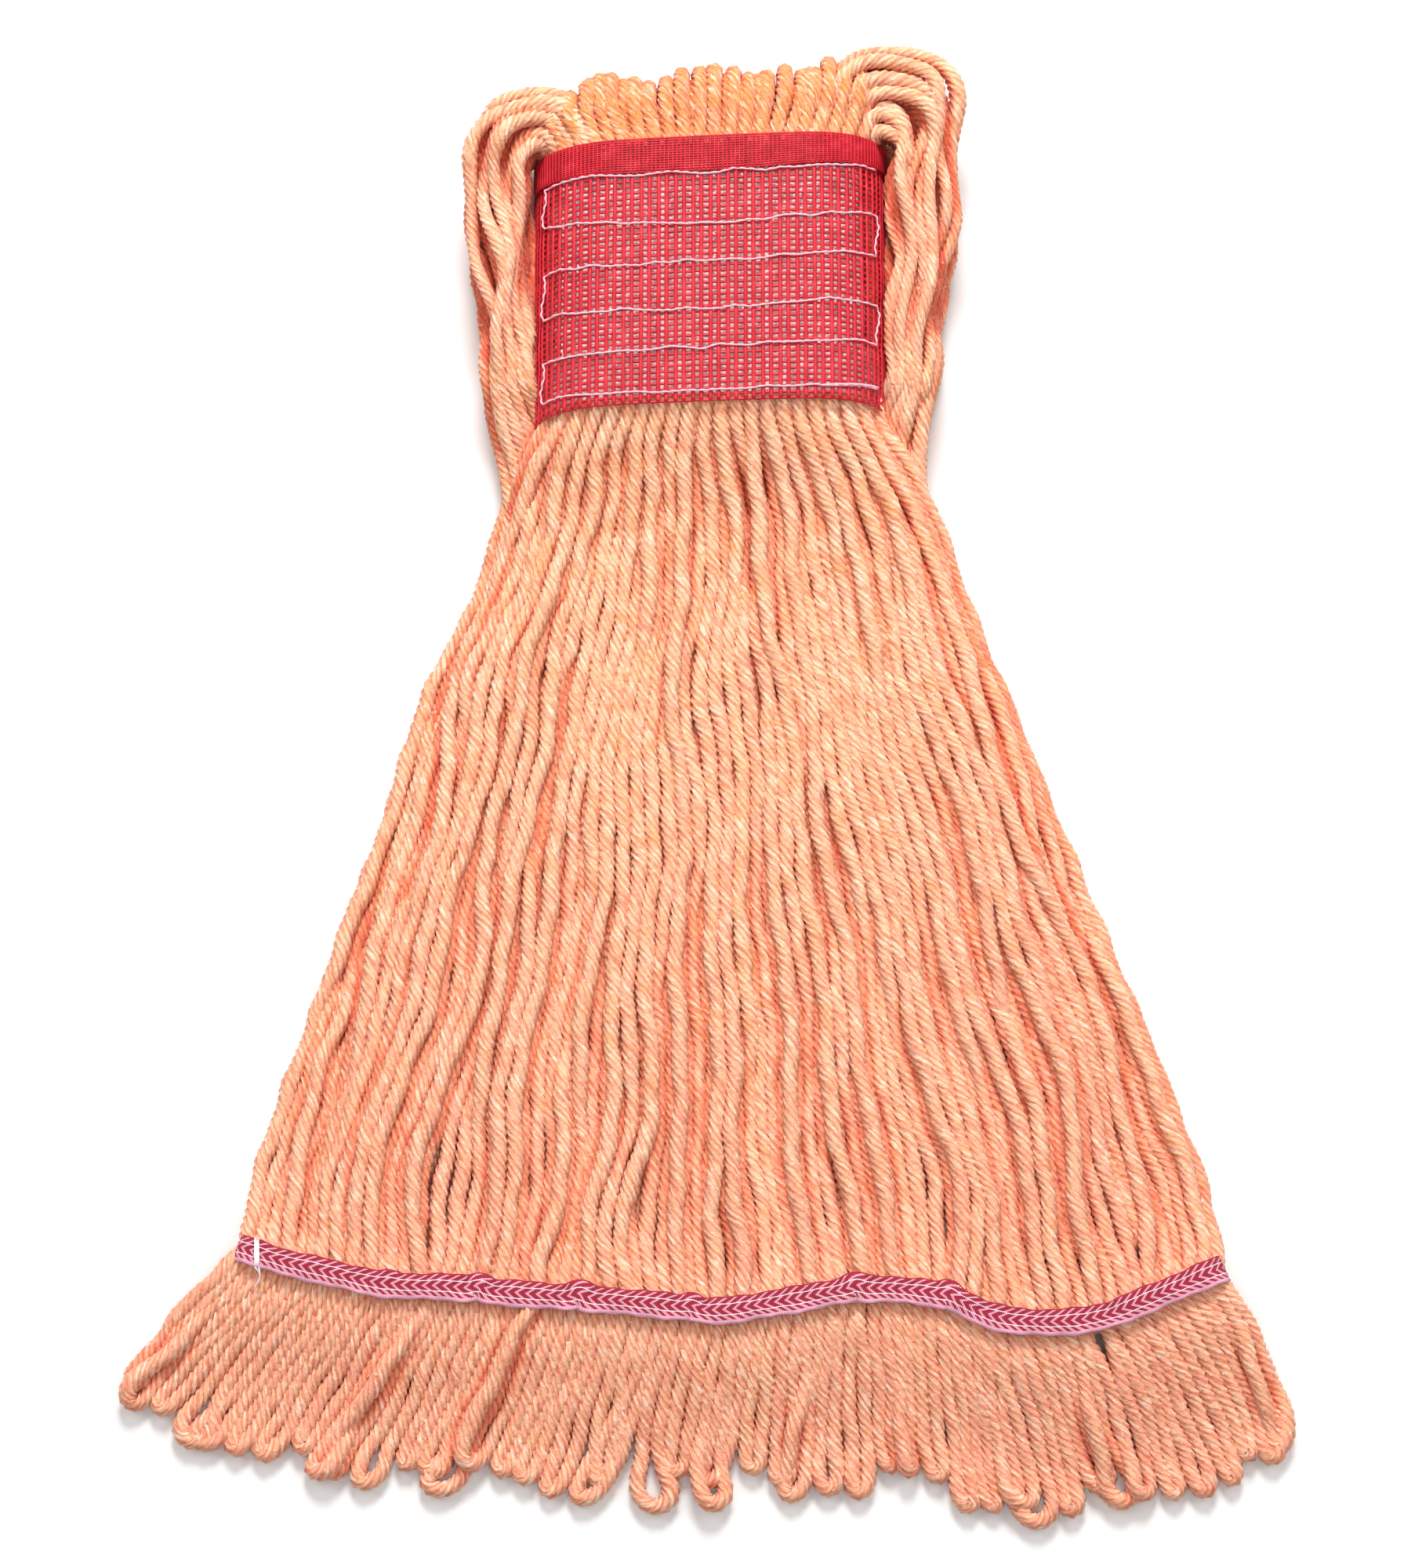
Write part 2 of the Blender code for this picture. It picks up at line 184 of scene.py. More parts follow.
def lay_map(strands):
    """The pile's own upper and lower surface, as two maps of height on a grid seen from above."""
    top, bottom = np.full(MAP_SIZE, -1.0), np.full(MAP_SIZE, 1.0)
    for rings in strands:
        spots = rings.reshape(-1, 3)
        cell = map_cell(spots)
        np.maximum.at(top, cell, spots[:, 2])
        np.minimum.at(bottom, cell, spots[:, 2])
    for shift in (1, 1, 2):
        for axis in (0, 1):
            after, before = np.roll(top, shift, axis), np.roll(top, -shift, axis)
            top = np.maximum(top, np.maximum(after, before))
            after, before = np.roll(bottom, shift, axis), np.roll(bottom, -shift, axis)
            bottom = np.minimum(bottom, np.minimum(after, before))
    return top, bottom


def depth_in(maps, spots):
    """How far each point lies inside the pile, measured to the nearer of its two surfaces."""
    cell = map_cell(spots)
    return np.minimum(maps[0][cell] - spots[:, 2], spots[:, 2] - maps[1][cell])


def piece_of(name, mesh, material):
    """The mesh as an object in the scene, smooth and in its material."""
    mesh.polygons.foreach_set("use_smooth", np.ones(len(mesh.polygons), bool))
    piece = bpy.data.objects.new(name, mesh)
    bpy.context.scene.collection.objects.link(piece)
    piece.data.materials.append(material)
    return piece


def ring_quads(count, corners):
    """The faces that join each ring of points to the next one."""
    i, m = np.meshgrid(np.arange(count - 1), np.arange(corners), indexing="ij")
    after = (m + 1) % corners
    quads = [i * corners + m, i * corners + after, (i + 1) * corners + after, (i + 1) * corners + m]
    return np.stack(quads, axis=-1).reshape(-1, 4)


def strand_mesh(name, strands, maps):
    """One mesh of several strands. Each is (rings, distance along, tint); its ends are closed."""
    corners = 2 * PLIES
    points, loops, starts, spots, tints = [], [], [], [], []
    base = 0
    face_at = 0
    for number, (rings, far, tint) in enumerate(strands):
        count = len(rings)
        points.append(rings.reshape(-1, 3))
        quads = ring_quads(count, corners)
        i, m = np.divmod(np.arange((count - 1) * corners), corners)
        u0, u1 = far[i] / TWIST_TURN, far[i + 1] / TWIST_TURN
        # A whole number of turns for each strand leaves its plies alone and gives it fibres of its own.
        own = number + 8 * (len(bpy.data.meshes) % 23)
        v0, v1 = m / corners + own, (m + 1) / corners + own
        uv = np.stack([u0, v0, u0, v1, u1, v1, u1, v0], axis=-1)
        loops.append((quads + base).reshape(-1))
        spots.append(uv.reshape(-1, 2))
        starts.append(face_at + 4 * np.arange(len(quads)))
        face_at += 4 * len(quads)
        points.append(np.concatenate([rings[0], rings[-1]]))
        for cap in (count * corners + np.arange(corners)[::-1], (count + 1) * corners + np.arange(corners)):
            loops.append(cap + base)
            spots.append(np.zeros((corners, 2)))
            starts.append(np.array([face_at]))
            face_at += corners
        tint = np.broadcast_to(tint, count)
        tints.append(np.repeat(np.append(tint, (tint[0], tint[-1])), corners))
        base += (count + 2) * corners
    points = np.concatenate(points)
    loops = np.concatenate(loops)
    starts = np.concatenate(starts)
    mesh = bpy.data.meshes.new(name)
    mesh.vertices.add(len(points))
    mesh.vertices.foreach_set("co", points.astype(np.float32).ravel())
    mesh.loops.add(len(loops))
    mesh.loops.foreach_set("vertex_index", loops.astype(np.int32))
    mesh.polygons.add(len(starts))
    mesh.polygons.foreach_set("loop_start", starts.astype(np.int32))
    mesh.update(calc_edges=True)
    lay = mesh.uv_layers.new(name="lay")
    lay.data.foreach_set("uv", np.concatenate(spots).astype(np.float32).ravel())
    tint = mesh.attributes.new("tint", "FLOAT", "POINT")
    tint.data.foreach_set("value", np.concatenate(tints).astype(np.float32))
    # How far each point lies inside the pile, which the yarn material turns into painted shade between the
    # strands.
    depth = mesh.attributes.new("depth", "FLOAT", "POINT")
    depth.data.foreach_set("value", np.clip(depth_in(maps, points) / 0.010, 0, 1).astype(np.float32))
    return piece_of(name, mesh, yarn)


def fill(tree, sockets, values):
    """Gives each socket its value, or the link that is in its place."""
    for socket, value in zip(sockets, values):
        if hasattr(value, "links"):
            tree.links.new(value, socket)
        else:
            socket.default_value = value


def noise(tree, where, scale, detail, roughness=0.5, stretch=None):
    """Cloudy noise over the coordinates, which stretch scales along each axis first."""
    made = tree.nodes.new("ShaderNodeTexNoise")
    made.inputs["Scale"].default_value = scale
    made.inputs["Detail"].default_value = detail
    made.inputs["Roughness"].default_value = roughness
    if stretch:
        scaling = tree.nodes.new("ShaderNodeMapping")
        scaling.inputs["Scale"].default_value = stretch
        tree.links.new(where, scaling.inputs["Vector"])
        where = scaling.outputs["Vector"]
    tree.links.new(where, made.inputs["Vector"])
    return made.outputs["Fac"]


def mixed(tree, factor, first, second, blend="MIX"):
    """A colour mix. factor, first and second are sockets or values."""
    mix = tree.nodes.new("ShaderNodeMix")
    mix.data_type = "RGBA"
    mix.blend_type = blend
    fill(tree, (mix.inputs[0], mix.inputs[6], mix.inputs[7]), (factor, first, second))
    return mix.outputs[2]


def ramp(tree, value, stops):
    made = tree.nodes.new("ShaderNodeValToRGB")
    made.color_ramp.elements[0].position = stops[0][0]
    made.color_ramp.elements[0].color = (*stops[0][1], 1)
    made.color_ramp.elements[1].position = stops[-1][0]
    made.color_ramp.elements[1].color = (*stops[-1][1], 1)
    for spot, colour in stops[1:-1]:
        made.color_ramp.elements.new(spot).color = (*colour, 1)
    tree.links.new(value, made.inputs["Fac"])
    return made.outputs["Color"]


def reckon(tree, operation, *values):
    made = tree.nodes.new("ShaderNodeMath")
    made.operation = operation
    fill(tree, made.inputs, values)
    return made.outputs[0]


def weave_axes(tree, layer):
    """A UV layer's coordinates: both together, then each by itself."""
    lay = tree.nodes.new("ShaderNodeUVMap")
    lay.uv_map = layer
    split = tree.nodes.new("ShaderNodeSeparateXYZ")
    tree.links.new(lay.outputs["UV"], split.inputs[0])
    return lay.outputs["UV"], split.outputs["X"], split.outputs["Y"]


def stored(tree, name):
    made = tree.nodes.new("ShaderNodeAttribute")
    made.attribute_name = name
    return made.outputs["Fac"]


def bumped(tree, shader, height, strength, distance):
    bump = tree.nodes.new("ShaderNodeBump")
    bump.inputs["Strength"].default_value = strength
    bump.inputs["Distance"].default_value = distance
    tree.links.new(height, bump.inputs["Height"])
    tree.links.new(bump.outputs["Normal"], shader.inputs["Normal"])


yarn, tree, shader = surface("peach_yarn", 0.92, 0.15)
shader.inputs["Sheen Weight"].default_value = 0.22
shader.inputs["Sheen Roughness"].default_value = 0.6
shader.inputs["Sheen Tint"].default_value = (1.0, 0.80, 0.66, 1)
place = tree.nodes.new("ShaderNodeTexCoord").outputs["Object"]
lay, _, around = weave_axes(tree, "lay")
tint = stored(tree, "tint")
# Staple fibres run along each ply, so the fibre noise is stretched along the lay.
fibre = noise(tree, lay, 1.0, 3.0, 0.7, stretch=(16.0, 26.0, 1.0))
patch = noise(tree, place, 75.0, 2.0)
fleck = noise(tree, place, 420.0, 1.0)
# The plies' grooves: a wave across the ring of plies, deepest in the valleys.
uneven = noise(tree, lay, 1.0, 2.0, stretch=(4.0, 5.0, 1.0))
shifted = reckon(tree, "MULTIPLY", reckon(tree, "SUBTRACT", uneven, 0.5), 0.26)
shifted = reckon(tree, "ADD", around, shifted)
groove = reckon(tree, "COSINE", reckon(tree, "MULTIPLY", shifted, 2 * math.pi * PLIES))
groove = reckon(tree, "MULTIPLY_ADD", groove, 0.5, 0.5)
body = ramp(tree, patch, ((0.32, (0.93, 0.44, 0.20)), (0.50, (0.95, 0.52, 0.29)), (0.66, (0.96, 0.60, 0.38))))
in_open = reckon(tree, "MAXIMUM", reckon(tree, "MINIMUM", tint, 1.0), 0.0)
salmon = mixed(tree, in_open, body, (0.92, 0.42, 0.26, 1))
# The fold's yarn is coloured more orange, and painted darker as shade against the lamps' light on it.
fold_painted_shade = reckon(tree, "MAXIMUM", reckon(tree, "MULTIPLY", tint, -1.0), 0.0)
salmon = mixed(tree, fold_painted_shade, salmon, (0.84, 0.30, 0.085, 1))
# Lengths of staple that took the dye pinker or stayed creamier.
blotch = noise(tree, lay, 1.0, 3.0, 0.65, stretch=(2.4, 9.0, 1.0))
pinker = ramp(tree, blotch, ((0.0, (1, 1, 1)), (0.38, (1, 1, 1)), (0.47, (0, 0, 0))))
creamier = ramp(tree, blotch, ((0.0, (0, 0, 0)), (0.51, (0, 0, 0)), (0.64, (1, 1, 1))))
dyed = mixed(tree, reckon(tree, "MULTIPLY", pinker, 0.75), salmon, (0.90, 0.34, 0.27, 1))
dyed = mixed(tree, reckon(tree, "MULTIPLY", creamier, 0.72), dyed, (1.0, 0.78, 0.62, 1))
# Painted shade: the colour is darkened along the ply grooves.
ply_groove_painted_shade = ramp(tree, groove, ((0.0, (0.62, 0.24, 0.14)), (0.22, (0.84, 0.54, 0.42)), (0.60, (1, 1, 1))))
laid = mixed(tree, 0.55, dyed, ply_groove_painted_shade, "MULTIPLY")
streak = ramp(tree, fibre, ((0.30, (0.84, 0.72, 0.64)), (0.5, (1, 1, 1)), (0.70, (1.10, 1.22, 1.30))))
streaked = mixed(tree, 0.8, laid, streak, "MULTIPLY")
# Painted shade: the colour darkens towards deep red the farther a point lies inside the pile, down between
# the strands.
PAINTED_SHADE_STOPS = (
    (0.0, (1, 1, 1)),
    (0.22, (1, 1, 1)),
    (0.45, (0.98, 0.78, 0.72)),
    (0.70, (0.92, 0.52, 0.44)),
    (1.0, (0.78, 0.28, 0.22)),
)
painted_crevice_shade = mixed(tree, 1.0, streaked, ramp(tree, stored(tree, "depth"), PAINTED_SHADE_STOPS), "MULTIPLY")
pale_fleck = ramp(tree, fleck, ((0.0, (0, 0, 0)), (0.70, (0, 0, 0)), (0.76, (1, 1, 1))))
flecked = mixed(tree, reckon(tree, "MULTIPLY", pale_fleck, 0.45), painted_crevice_shade, (1.0, 0.86, 0.80, 1))
# Painted light: where the mesh covers it the yarn is coloured pale, to lighten the mesh's shade on it.
painted_light_mask = reckon(tree, "GREATER_THAN", tint, 1.5)
finished = mixed(tree, reckon(tree, "MULTIPLY", painted_light_mask, 0.96), flecked, (1.0, 0.84, 0.82, 1))
tree.links.new(finished, shader.inputs["Base Color"])
bumped(tree, shader, reckon(tree, "ADD", fibre, fleck), 0.6, 0.0010)

# ----------------------------------------------------------------------
# Front half: strands leave the headband four deep and side by side, spread into a fan as they come down,
# pass between the plies of the tail tape and end in loops. They settle on each other under their own weight.
# ----------------------------------------------------------------------
BAND_HALF_WIDTH = 0.0785
BAND_FLAT_HALF_WIDTH = 0.036
BAND_SIDE_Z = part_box("headband_front_panel")[0].z
BAND_CROWN_Z = 0.0490
BACK_PANEL_Z = 0.0176
LOWEST_IN_BAND = 0.0188
COLUMNS = 23
LAYERS = 4
# Edges of the fan: height, left, right.
FAN_EDGES = (
    (0.1560, -0.0765, 0.0775), (0.1480, -0.0800, 0.0810), (0.1340, -0.0890, 0.0910),
    (0.1130, -0.0945, 0.1020), (0.0775, -0.1050, 0.1140), (0.0420, -0.1235, 0.1280),
    (0.0070, -0.1345, 0.1416), (-0.0280, -0.1450, 0.1550), (-0.0630, -0.1570, 0.1680),
    (-0.0975, -0.1690, 0.1815), (-0.1320, -0.1815, 0.1950), (-0.1700, -0.1930, 0.2080),
    (-0.2070, -0.1980, 0.2150), (-0.2500, -0.2010, 0.2180),
)
# Tail tape's middle line: place across and height.
TAPE_LINE = (
    (-0.1990, -0.2104), (-0.1800, -0.2169), (-0.1610, -0.2214), (-0.1346, -0.2269), (-0.1115, -0.2276),
    (-0.0870, -0.2300), (-0.0540, -0.2324), (-0.0135, -0.2361), (-0.0020, -0.2376), (0.0310, -0.2337),
    (0.0630, -0.2286), (0.1016, -0.2327), (0.1180, -0.2398), (0.1400, -0.2425), (0.1650, -0.2398),
    (0.1855, -0.2320), (0.2165, -0.2191),
)
TIP_LINE = (
    (-0.2435, -0.2575), (-0.2390, -0.2755), (-0.2170, -0.2840), (-0.1780, -0.2955), (-0.1490, -0.3020),
    (-0.1000, -0.3055), (-0.0500, -0.3095), (0.0100, -0.3100), (0.0610, -0.3080), (0.0920, -0.3140),
    (0.1290, -0.3155), (0.1600, -0.3160), (0.1970, -0.3095), (0.2170, -0.3045), (0.2340, -0.2950),
    (0.2430, -0.2770),
)


def band_bottom(x):
    return 0.1566 + 0.038 * x - 0.0012 * (x / 0.077) ** 2


def band_top(x):
    return 0.2793 + 0.048 * x - 0.0012 * (x / BAND_HALF_WIDTH) ** 2


def crown(x):
    """Height of the headband's outer face: flat in the middle, rounded down at both sides."""
    out = np.clip((np.abs(x) - BAND_FLAT_HALF_WIDTH) / (BAND_HALF_WIDTH - BAND_FLAT_HALF_WIDTH), 0, 1)
    return BAND_SIDE_Z + (BAND_CROWN_Z - BAND_SIDE_Z) * np.sqrt(1 - out**2.6)


def curve_through(points, shares):
    """Smooth points at these shares of the way along a line given by a few points."""
    points = np.asarray(points, float)
    far = run_length(points)
    far /= far[-1]
    slope = np.gradient(points, far, axis=0)
    shares = np.clip(shares, 0, 1)
    i = np.clip(np.searchsorted(far, shares) - 1, 0, len(far) - 2)
    h = (far[i + 1] - far[i])[:, None]
    t = ((shares - far[i])[:, None]) / h
    a, b = points[i], points[i + 1]
    return (
        (2 * t**3 - 3 * t**2 + 1) * a
        + (t**3 - 2 * t**2 + t) * h * slope[i]
        + (-2 * t**3 + 3 * t**2) * b
        + (t**3 - t**2) * h * slope[i + 1]
    )


SHARE_COUNT = 81
SHARES = np.linspace(0, 1, SHARE_COUNT)
EDGE_Y, EDGE_LEFT, EDGE_RIGHT = np.array(FAN_EDGES)[::-1].T
# The strands' places across the headband's lower edge, from its left end to its right.
BAND_LEFT, BAND_SPAN = -0.076, 0.153
band_x = BAND_LEFT + BAND_SPAN * SHARES
tape_curve = curve_through(TAPE_LINE, SHARES)
tip_curve = curve_through(TIP_LINE, SHARES)


def fan_station(down):
    """The line across the fan this share of the way from the headband to the tape."""
    y = (1 - down) * band_bottom(band_x) + down * tape_curve[:, 1]
    left = np.interp(y[0], EDGE_Y, EDGE_LEFT)
    right = np.interp(y[-1], EDGE_Y, EDGE_RIGHT)
    even = left + (right - left) * SHARES
    like_tape = max(0.0, (down - 0.8) / 0.2) ** 2
    return np.stack([(1 - like_tape) * even + like_tape * tape_curve[:, 0], y], axis=1)


FAN_STEPS = 38
BAND_STEPS = 3
FRINGE_STEPS = 13
stations = []
for i in range(BAND_STEPS):
    stations.append(np.stack([band_x, band_bottom(band_x) + 0.009 * (BAND_STEPS - i)], axis=1))
stations.extend(fan_station(i / FAN_STEPS) for i in range(FAN_STEPS + 1))
for i in range(1, FRINGE_STEPS + 1):
    share = i / FRINGE_STEPS
    bow = 0.003 * math.sin(math.pi * share) * (2 * SHARES - 1) ** 3
    line = tape_curve + (tip_curve - tape_curve) * share
    line[:, 0] += bow
    stations.append(line)
stations = np.array(stations)
station_length = np.linalg.norm(np.diff(stations, axis=1), axis=2).sum(axis=1)
TAPE_AT = BAND_STEPS + FAN_STEPS
STATION_COUNT = len(stations)


def back_top(station):
    """How high the back half stands under each of a station's places."""
    line = stations[station]
    y = line[:, 1]
    reach = np.interp(y, (-0.214, -0.129, 0.007, 0.113, 0.158), (0.182, 0.166, 0.128, 0.090, 0.095))
    inside = np.clip((reach - np.abs(line[:, 0] - 0.006)) / 0.012, 0, 1)
    depth = np.interp(y, (-0.222, -0.205, -0.129, 0.113), (0.0, 0.0095, 0.0125, 0.0160))
    return depth * inside


floor_height = np.array([back_top(s) for s in range(STATION_COUNT)])
floor_height[:BAND_STEPS] = 0.0185
count = COLUMNS * LAYERS
column = np.tile(np.arange(COLUMNS), LAYERS)
layer = np.repeat(np.arange(LAYERS), COLUMNS)
rank = (column + (layer * 0.5 % 1) + 0.25 * (layer // 2) + 0.25) / (COLUMNS + 0.5)
order = np.argsort(np.argsort(rank + 1e-4 * layer))
even_rank = (order + 0.5) / count
steps = np.arange(STATION_COUNT)


def slow_noise(rows, columns, knots, seed_source):
    """Smooth random wander, one column for each strand."""
    coarse = seed_source.normal(size=(knots, columns))
    where = np.linspace(0, knots - 1, rows)
    i = np.minimum(where.astype(int), knots - 2)
    t = eased(where - i)[:, None]
    return coarse[i] * (1 - t) + coarse[i + 1] * t


wander = 0.9 * slow_noise(STATION_COUNT, count, 9, chance)
wander += 0.5 * slow_noise(STATION_COUNT, count, 18, chance)
calm = np.clip((steps - BAND_STEPS) / 5, 0, 1)[:, None]
swing = np.array((1.25, 1.0, 0.8, 0.6))[layer][None, :]
target = even_rank[None, :] + 0.0031 * swing * wander / station_length[:, None] * calm
at_band = (column + 0.5 * (layer % 2) + 0.25) / COLUMNS
open_out = eased(np.clip((steps - BAND_STEPS) / 5.0, 0, 1))[:, None]
target = at_band[None, :] * (1 - open_out) + target * open_out
# Above the tape the strands bunch into slow waves where it draws them in.
near_tape = np.exp(-(((steps - (TAPE_AT - 4.2)) / 2.6) ** 2))


def drawn_in(s, share):
    """How far the strands at this share across a station are pushed sideways together."""
    inner = np.clip(np.minimum(share, 1 - share) / 0.08, 0, 1)
    bunch = 0.0032 * np.sin(2 * np.pi * 4.3 * share + 0.5)
    bunch = bunch + 0.0018 * np.sin(2 * np.pi * 9.7 * share + 0.4)
    slow = 0.0016 * np.sin(2 * np.pi * (s / 11.0 + 2.6 * share) + 1.0) * np.clip((s - 6) / 6, 0, 1)
    fringe = 0.0012 * np.sin(2 * np.pi * 13.1 * share + s / 4.0) * np.clip((s - TAPE_AT) / 6, 0, 1)
    slow = slow * np.clip(abs(TAPE_AT - s) / 4, 0, 1) * (s < TAPE_AT)
    return inner * (near_tape[s] * bunch + slow + fringe)


# Below the tape the strands go in pairs, each pair a loop.
by_rank = np.argsort(even_rank)
loops_of = by_rank.reshape(-1, 2)
loop_count = len(loops_of)
loop_width = np.clip(chance.gamma(6.0, 0.0014, loop_count), 0.0062, 0.014)
loop_drift = chance.normal(0, 0.0042, loop_count)
for k, (a, b) in enumerate(loops_of):
    middle = 0.5 * (even_rank[a] + even_rank[b])
    for s in range(TAPE_AT + 1, STATION_COUNT):
        share = (s - TAPE_AT) / FRINGE_STEPS
        half = 0.5 * loop_width[k] / station_length[s]
        drift = loop_drift[k] * share / station_length[s]
        target[s, a] += (middle - half + drift - target[s, a]) * share**0.8
        target[s, b] += (middle + half + drift - target[s, b]) * share**0.8
radius = 0.5 * STRAND * 0.95


def settle(lines, target, begin, ground, ceiling, held, rounds):
    """Lets strands find their places on the lines across a fan: they push each other apart, sink on to
    what is under them, and stay smooth along their length. begin is (shares, heights); the held rows keep
    them."""
    lengths = np.linalg.norm(np.diff(lines, axis=1), axis=2).sum(axis=1)
    scale = lengths[:, None]
    share, high = begin[0].copy(), begin[1].copy()
    fixed_share, fixed_high = share[:held].copy(), high[:held].copy()
    count = share.shape[1]
    margin = radius / scale
    for _ in range(rounds):
        across = share * scale
        dx = across[:, :, None] - across[:, None, :]
        dz = high[:, :, None] - high[:, None, :]
        apart = np.sqrt(dx * dx + dz * dz) + 1e-9
        near = np.clip(2 * radius - apart, 0, None)
        near[:, np.arange(count), np.arange(count)] = 0
        new_x = across + (near * dx / apart).sum(axis=2) * 0.32
        new_z = high + (near * dz / apart).sum(axis=2) * 0.32 - 0.00035
        new_x += 0.05 * (target * scale - new_x)
        share = new_x / scale
        share[1:-1] += 0.34 * (0.5 * (share[:-2] + share[2:]) - share[1:-1])
        new_z[1:-1] += 0.34 * (0.5 * (new_z[:-2] + new_z[2:]) - new_z[1:-1])
        share = np.clip(share, margin, 1 - margin)
        for s in range(len(lines)):
            low = np.interp(share[s], SHARES, ground[s]) + radius
            top = np.interp(share[s], SHARES, ceiling[s]) - radius
            new_z[s] = np.clip(new_z[s], low, np.maximum(low, top))
        new_z[:held] = fixed_high
        share[:held] = fixed_share
        high = new_z
    for _ in range(3):
        share[1:-1] += 0.5 * (0.5 * (share[:-2] + share[2:]) - share[1:-1])
        high[1:-1] += 0.5 * (0.5 * (high[:-2] + high[2:]) - high[1:-1])
    return share, high


top_in_band = crown(np.abs(BAND_LEFT + BAND_SPAN * at_band) + 0.0026) - 0.0014 - radius
in_band = np.maximum(LOWEST_IN_BAND + radius, top_in_band - np.array((0.0, 0.0012, 0.0066, 0.0126))[layer])
held = BAND_STEPS + 1
height = np.empty((STATION_COUNT, count))
for s in range(STATION_COUNT):
    ground = np.interp(target[s], SHARES, floor_height[s])
    thick = count * STRAND**2 / station_length[s]
    height[s] = ground + radius + (LAYERS - 1 - layer) / LAYERS * thick
height[:held] = in_band
shares_now = target.copy()
shares_now[:held] = at_band
ceiling = np.full_like(floor_height, 1.0)
ceiling[TAPE_AT] = 0.0236
floor_height[TAPE_AT] = 0.0150
for s in range(TAPE_AT + 1, STATION_COUNT):
    share = (s - TAPE_AT) / FRINGE_STEPS
    floor_height[s] = np.interp(share, (0.0, 0.15, 0.35, 0.60, 0.85), (0.0150, 0.0138, 0.0098, 0.0040, 0.0))
    ceiling[s] = np.interp(share, (0.0, 0.15, 0.35, 0.60, 1.0), (0.0245, 0.0256, 0.0248, 0.0205, 0.0135))
ceiling[TAPE_AT - 1] = 0.0250
shares_now, height = settle(stations, target, (shares_now, height), floor_height, ceiling, held, 220)


def strand_path(i, last):
    """A front strand's points from inside the headband down to a station."""
    rows = np.arange(last + 1)
    x = np.array([np.interp(shares_now[s, i], SHARES, stations[s, :, 0]) for s in rows])
    x += np.array([drawn_in(s, shares_now[s, i]) for s in rows])
    y = np.array([np.interp(shares_now[s, i], SHARES, stations[s, :, 1]) for s in rows])
    return np.stack([x, y, height[: last + 1, i]], axis=1)


def smooth_path(points, step):
    """A denser, rounder path through rough points."""
    points = np.asarray(points, float)
    far = run_length(points)
    return curve_through(points, np.linspace(0, 1, max(4, int(far[-1] / step))))


def loop_end(a, b, out):
    """The turn that joins two legs at a looped end, bulging along out."""
    gap = np.linalg.norm(b - a)
    reach = 0.5 * max(gap, STRAND) * 1.1
    angle = np.linspace(0, np.pi, 11)[1:-1]
    middle = 0.5 * (a + b)
    return [middle + 0.5 * (a - b) * math.cos(t) + out * reach * math.sin(t) for t in angle]


FRONT_STEP = 0.0022


def slimmer(rings, middle):
    """The strand pressed a little thinner where the headband holds it."""
    x, y, z = middle.T
    held_in = np.clip((y - band_bottom(x)) / 0.008, 0, 1) * np.clip((band_top(x) + 0.004 - y) / 0.008, 0, 1)
    size = 1 - 0.16 * held_in * (z > 0.018)
    return middle[:, None, :] + (rings - middle[:, None, :]) * size[:, None, None]


wiggle_source = np.random.default_rng(7)


def wiggle(path):
    """The small unevenness of soft yarn, which grows away from the headband."""
    far = run_length(path)
    out = path.copy()
    ends = np.clip(far / 0.05, 0, 1) * np.clip((far[-1] - far) / 0.05, 0, 1)
    for size, wave in ((0.00060, 0.037), (0.00035, 0.017)):
        for k in (0, 1):
            out[:, k] += size * ends * np.sin(2 * np.pi * far / wave + wiggle_source.uniform(0, 2 * np.pi))
    return out


def under_band(middle, shade):
    """A strand's tint: its own shade outside the headband, and 2 where the mesh covers it, which paints light
    into that yarn.
    """
    x, y, z = middle.T
    # Painted light goes where the mesh covers the yarn.
    painted_light_mask = (z > 0.0178) & (y > band_bottom(x) + 0.0040) & (y < band_top(x) - 0.004) & (np.abs(x) < 0.0690)
    return np.where(painted_light_mask, 2.0, shade)


front_loops = []
for k, (a, b) in enumerate(loops_of):
    cut = STATION_COUNT - 1 - int(chance.choice((0, 0, 0, 1, 1, 2), p=(0.3, 0.2, 0.1, 0.2, 0.1, 0.1)))
    first, second = strand_path(a, cut), strand_path(b, cut)
    out = (first[-1] - first[-4]) + (second[-1] - second[-4])
    out[2] = 0
    out /= np.linalg.norm(out)
    turn = loop_end(first[-1], second[-1], out)
    rough = np.concatenate([first, turn, second[::-1]])
    path = wiggle(smooth_path(rough, 0.004))
    path[:, 2] = np.maximum(path[:, 2], PLUMP * 1.04)
    rings, middle, far = strand_rings(path, FRONT_STEP, PLUMP, chance.uniform(0, 2 * np.pi))
    rings = slimmer(rings, middle)
    depth = np.clip((0.10 - middle[:, 1]) / 0.42, 0, 1)
    shade = np.clip(0.16 + 0.70 * depth + chance.normal(0, 0.12), 0, 1)
    front_loops.append((rings, middle, far, under_band(middle, shade)))

